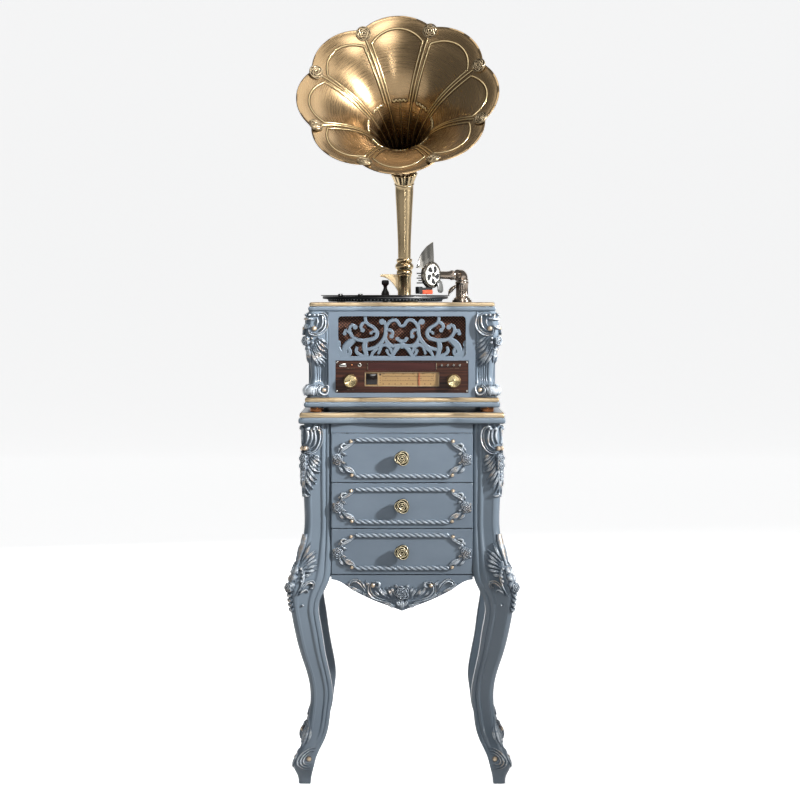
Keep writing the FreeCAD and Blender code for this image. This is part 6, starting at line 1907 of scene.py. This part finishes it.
@dataclass
class Horn:
    """The horn: bracket, stem with its collar, and the eight-petalled bell with wires and rosettes.

    Bell shapes are drawn in the bell's own frame, Z along its axis from throat to mouth, and tilted forward.
    A petal's panel is a field with straight sides that widen from the bar to the shoulder, and an arched top.

    Attributes:
        x: X of the stem.
        y: Y of the stem.
        heading: Turn of the whole horn about the stem, in degrees.
        deck: Height that the bracket stands on.
        socket_height: Height of the bracket.
        tilt: How far the bell's axis leans forward, in degrees.
        roll: Turn of the bell about its own axis, in degrees.
        bend: Radius of the stem's bend.
        stem_foot: Height where the stem leaves the bracket.
        stem_head: Height where its bend begins.
        throat: Radius of the bell's throat.
        length: Length of the bell along its axis.
        tip: Radius of the lip in the middle of a petal.
        notch: Radius of the lip between two petals.
        petals: Number of petals.
        panel_ends: Radii of a panel's bar and shoulder.
        panel_halves: Half widths of the panel there.
        panel_top: Radius of the top of its arch.
        arch: Radius of curvature of the arch.
        wall: Rows of axial and radial shares along the flare.
        socket: Profile of the bracket's socket.
        collar: Profile of the stem up to its bend, above its foot.
        cup: Profile of the fluted cup round the bend.
    """

    x: float = 6.0
    y: float = 165.0
    heading: float = -3.5
    deck: float = 1100.0
    socket_height: float = 67.0
    tilt: float = 55.2
    roll: float = 2.7
    bend: float = 60.0
    stem_foot: float = 1167.3
    stem_head: float = 1367.3
    throat: float = 22.0
    length: float = 291.0
    tip: float = 235.0
    notch: float = 216.0
    petals: int = 8
    panel_ends: Sequence[float] = (74.5, 180.0)
    panel_halves: Sequence[float] = (22.5, 61.0)
    panel_top: float = 205.0
    arch: float = 86.9
    wall: ClassVar[Points] = ((0.00, 0.000), (0.14, 0.022), (0.30, 0.070), (0.46, 0.150), (0.62, 0.270), (0.76, 0.425),
                              (0.88, 0.630), (0.95, 0.800), (1.00, 1.000))
    socket: ClassVar[Points] = (
        (0, 0), (33, 0), (33, 2.4), (31.6, 3.6), (27, 4.4), (24, 6), (19, 7.4), (17.4, 10), (16.3, 14), (16.3, 60),
        (17.6, 62), (17.6, 66), (16.6, 67), (12.2, 67), (12.2, 26), (0, 26))
    collar: ClassVar[Points] = (
        (12, -38), (12, 0), (18.4, 0), (19, 1), (19, 7), (18.2, 8), (16.6, 8.6), (18.5, 10.5), (21.4, 14), (22.5, 18.5),
        (21.4, 23), (18.5, 26.6), (16.6, 28.4), (18.2, 29), (19, 30), (19, 36), (18.4, 37), (15, 37.4), (15.4, 42),
        (15.8, 72.7), (17.4, 112.7), (19.6, 157.7), (21.4, 187.7), (22, 200))
    cup: ClassVar[Points] = (
        (21.6, 0), (23.4, 0.4), (24.4, 2), (23.6, 4), (23.2, 6), (24.6, 10), (26.8, 16), (29.4, 22), (31.6, 28),
        (30.6, 29.4), (27.0, 26), (21.6, 12), (21.6, 0))

    def placed(self, shape: Shape) -> Shape:
        """Turn a shape, drawn about the stem, to the horn's heading and move it to its place."""
        return shape.mapped(lambda v: v @ turned(self.heading) + np.array([self.x, self.y, 0]))

    def leaned(self, shape: Shape) -> Shape:
        """Roll a shape about the bell's axis and tilt it from the bell's own frame to its place on the stem."""
        c, s = math.cos(math.radians(self.tilt)), math.sin(math.radians(self.tilt))
        turn = turned(self.roll) @ np.array([[1, 0, 0], [0, c, s], [0, -s, c]])
        place = np.array([0, self.bend * (c - 1), self.stem_head + self.bend * s])
        return self.placed(shape.mapped(lambda v: v @ turn + place))

    def depth_at(self, r: np.ndarray) -> np.ndarray:
        """Distance along the axis where the wall has a radius."""
        curve = smooth(self.wall, 400)
        return self.length * np.interp((r - self.throat) / (self.tip - self.throat), curve[:, 1], curve[:, 0])

    def local(self, angle: np.ndarray) -> np.ndarray:
        """Angle from the middle of the petal that a point lies on."""
        step = 2 * np.pi / self.petals
        return (angle - np.pi / 2 + step / 2) % step - step / 2

    def rim(self, angle: np.ndarray) -> np.ndarray:
        """Radius of the lip at an angle: arcs through notch, tip and notch of each petal."""
        half = np.pi / self.petals
        chord, rise = self.notch * math.sin(half), self.tip - self.notch * math.cos(half)
        big = (chord**2 + rise**2) / (2 * rise)
        centre, a = self.tip - big, self.local(angle)
        return centre * np.cos(a) + np.sqrt(np.clip(big**2 - (centre * np.sin(a)) ** 2, 0, None))

    def on_wall(self, r: np.ndarray, angle: np.ndarray, lift: float) -> np.ndarray:
        """Points above the bell's inner wall.

        The wall is the flare, hollowed across the middle of each petal by up to 6 mm and rolled up at the lip.
        A point is moved square to the flare by its lift, less the hollow, plus the roll.

        Args:
            r: Radii of the points.
            angle: Their angles.
            lift: Their height above the wall.

        Returns:
            The points in the bell's own frame.
        """
        gap = self.rim(angle) - r
        across = np.abs(self.local(angle)) * self.petals / np.pi
        hollow = 6.0 * (1 - across**2) * eased(r, 40, 150) * eased(gap, 2, 45)
        off = (lift - hollow + 1.2 * bump(gap, 0, 3.0)) * eased(r, 22, 40)
        slope = self.depth_at(r + 0.5) - self.depth_at(r - 0.5)
        size = np.sqrt(1 + slope**2)
        r2 = r - off * slope / size
        return np.stack([r2 * np.cos(angle), r2 * np.sin(angle), self.depth_at(r) + off / size], -1)

    def bell(self) -> None:
        """Make the bell: an inner and an outer skin on a grid of angle and radius, joined at lip and throat."""
        a = turns(48 * self.petals)[None, :]
        skins = []
        for start, lift, rows in ((self.throat - 2, 0.0, 110), (self.throat, -2.4, 44)):
            r = start + (self.rim(a) - self.throat) * np.linspace(0, 1, rows)[:, None] ** 1.15
            angle = np.broadcast_to(a, r.shape)
            w = np.abs(self.local(angle)) * r
            beside = w - np.interp(r, self.panel_ends, self.panel_halves)
            above = np.hypot(w, r - self.panel_top + self.arch) - self.arch
            panel = 1 - eased(np.where(r > self.panel_ends[1], above, beside), -2, 2)
            # Painted shade: the crown mark falls towards the throat, where the horn finish turns dark brown; it is also
            # a little lower over each panel's field
            crown = np.clip(0.72 - 0.22 * panel - 0.75 * (1 - eased(r, 24, 100)), 0, 1)
            skins.append((self.on_wall(r, angle, lift), crown, round_marks(r, a, 30)))
        verts, crown, brush = (np.concatenate([inner, outer[::-1]]) for inner, outer in zip(*skins))
        quads = grid_quads(*crown.shape, close_rows=True, close_cols=True)
        made("horn_bell_spun", self.leaned(Shape(verts, quads, crown.ravel(), brush.reshape(-1, 3))), [F.horn], "horn",
             "horn_brass", ["horn_bell"], 60)

    def wire(self, petal: int, w: np.ndarray, r: np.ndarray, radius: float) -> Shape:
        """Lay a round wire on the wall of one petal, along places given across and out from the throat."""
        angle = np.pi / 2 + 2 * np.pi * petal / self.petals + w / r
        path, above = (self.on_wall(r, angle, lift) for lift in (0.3, 1.3))
        # The second, flat section is a dark strip under the wire: painted shadow beside it
        sections = oval(radius, radius, 8), oval(2.2 * radius, 0.55, 8)
        return joined([swept(path, section, up=above - path).painted(k) for k, section in enumerate(sections)])

    def wires(self) -> None:
        """Wire every petal: an arched outline, a bar with a stem at its inner end and a rib in the seam."""
        low, half = self.panel_ends[0], self.panel_halves[0]
        out = np.linspace(*self.panel_ends, 16)
        side = np.interp(out, self.panel_ends, self.panel_halves)
        turn = math.asin(self.panel_halves[1] / self.arch)
        a = np.linspace(-turn, turn, 34)[1:-1]
        w = np.concatenate([-side, self.arch * np.sin(a), side[::-1]])
        r = np.concatenate([out, self.panel_top - self.arch * (1 - np.cos(a)), out[::-1]])
        bar, stem, seam = np.linspace(-1, 1, 31), np.linspace(30, low, 18), np.linspace(30, self.notch - 26, 40)
        lines = ((w, r, 1.7), (bar * half * 0.8, low + 1.2 * np.cos(4 * np.pi * bar), 2.0), (0 * stem, stem, 1.2),
                 (seam * np.pi / self.petals, seam, 1.6))
        pieces = [self.wire(k, *line) for k in range(self.petals) for line in lines]
        made("horn_wires", self.leaned(joined(pieces)), [F.wire, F.painted_shadow], "horn", "horn_brass", crease=60)

    def rosettes(self) -> None:
        """Set a swirled rosette in a ring at each notch of the lip."""
        ring = lathe([(14.4, -1), (17.4, -1), (18, 1.2), (17.2, 2.8), (15.4, 2.8), (14.4, 1.4), (14.4, -1)], 48)
        rosette = joined([ring, rose(14.8, 5.0, rings=3, segments=50)])
        r = self.notch - 10
        pieces = []
        for a in turns(self.petals) + np.pi / self.petals + np.pi / 2:
            c, s = math.cos(a), math.sin(a)
            place = c * (r - 1), s * (r - 1), float(self.depth_at(r)) + 1.6
            pieces.append(aimed(rosette, place, (-0.5 * c, -0.5 * s, 0.86), (s, -c, 0)))
        made("horn_rosettes", self.leaned(joined(pieces)), [F.rosette], "horn", "horn_brass", crease=50)

    def stem(self) -> None:
        """Carry a round section up the stem, through its rings and bulb, and round the bend to the throat."""
        a = np.radians(np.linspace(0, self.tilt, 26))[1:]
        radius, rise = np.array(self.collar, dtype=float).T
        foot = np.stack([0 * rise, 0 * rise, self.stem_foot + rise], 1)
        bend = np.stack([0 * a, self.bend * (np.cos(a) - 1), self.stem_head + self.bend * np.sin(a)], 1)
        path = np.concatenate([foot, bend])
        tangent = np.concatenate([[(0, 0, 1)] * len(foot), np.stack([0 * a, -np.sin(a), np.cos(a)], 1)])
        radius = np.concatenate([radius, np.full(len(a), self.throat)])[:, None, None]
        t, across = turns(64), np.array([1.0, 0, 0])
        top = np.cross(tangent, across)[:, None]
        rows = path[:, None] + radius * (np.cos(t)[None, :, None] * across + np.sin(t)[None, :, None] * top)
        along = 6.0 * np.concatenate([[0], np.arange(len(path) + 1)])
        pipe = tube(capped(rows, path[0], path[-1]), brush=round_marks(along[:, None], t[None, :], 8))
        lean = math.radians(22)
        cup = aimed(lathe(self.cup, 128, ribbed(16, 0.035, 0.4, 0.78)), (0, -2.5, self.stem_head + 16),
                    (0, -math.sin(lean), math.cos(lean)), (1, 0, 0))
        made("horn_stem_tube", self.placed(joined([pipe, cup])), [F.stem], "horn", "horn_brass", ["horn_stem"], 40)

    def bracket(self) -> None:
        """Turn the flanged socket and sweep the corbel with its flat top and hollow underside."""
        s = np.linspace(0, 1, 22)
        x, high, low = -58 + 46 * s, self.socket_height - 1.2 * bump(s, 0, 0.06), self.socket_height - 6 - 42 * s**2.2
        edges = (-7, 1.2), (-6.2, 0.0), (6.2, 0.0), (7, 1.2)
        rows = [(depth, high - inset) for depth, inset in edges]
        rows += [(depth, low + inset) for depth, inset in edges[::-1]]
        grid = np.stack([np.stack([x, np.full(len(s), depth), z], 1) for depth, z in rows], 1)
        corbel = tube(capped(grid, grid[0].mean(axis=0), grid[-1].mean(axis=0))).painted(1)
        made("horn_socket", joined([lathe(self.socket), corbel]).moved(self.x, self.y, self.deck), [F.stem, F.tan],
             "cabinet", "arm_bronze", ["horn_bracket"], 35)

    def build(self) -> None:
        """Make the horn from its bracket to its lip."""
        self.bracket()
        self.stem()
        self.bell()
        self.wires()
        self.rosettes()


def main() -> None:
    """Build every sub-assembly in order."""
    logging.basicConfig(level=logging.INFO, format="%(name)s: %(message)s")
    Studio().build()
    PlainNodes().build()
    Corners().build()
    for board in (("cabinet_top_board", 236.0, 823.0, 26.0), ("player_base_board", 224.0, 860.0, 23.0),
                  ("deck_board", 214.0, 1079.0, 21.0)):
        MouldedBoard(*board).build()
    for level in ("lower", "middle", "upper"):
        DrawerFront(level).build()
    for assembly in (ApronCarving, PlayerCase, RadioFront, Turntable, ToneArm, Horn):
        assembly().build()


if __name__ == "__main__":
    main()
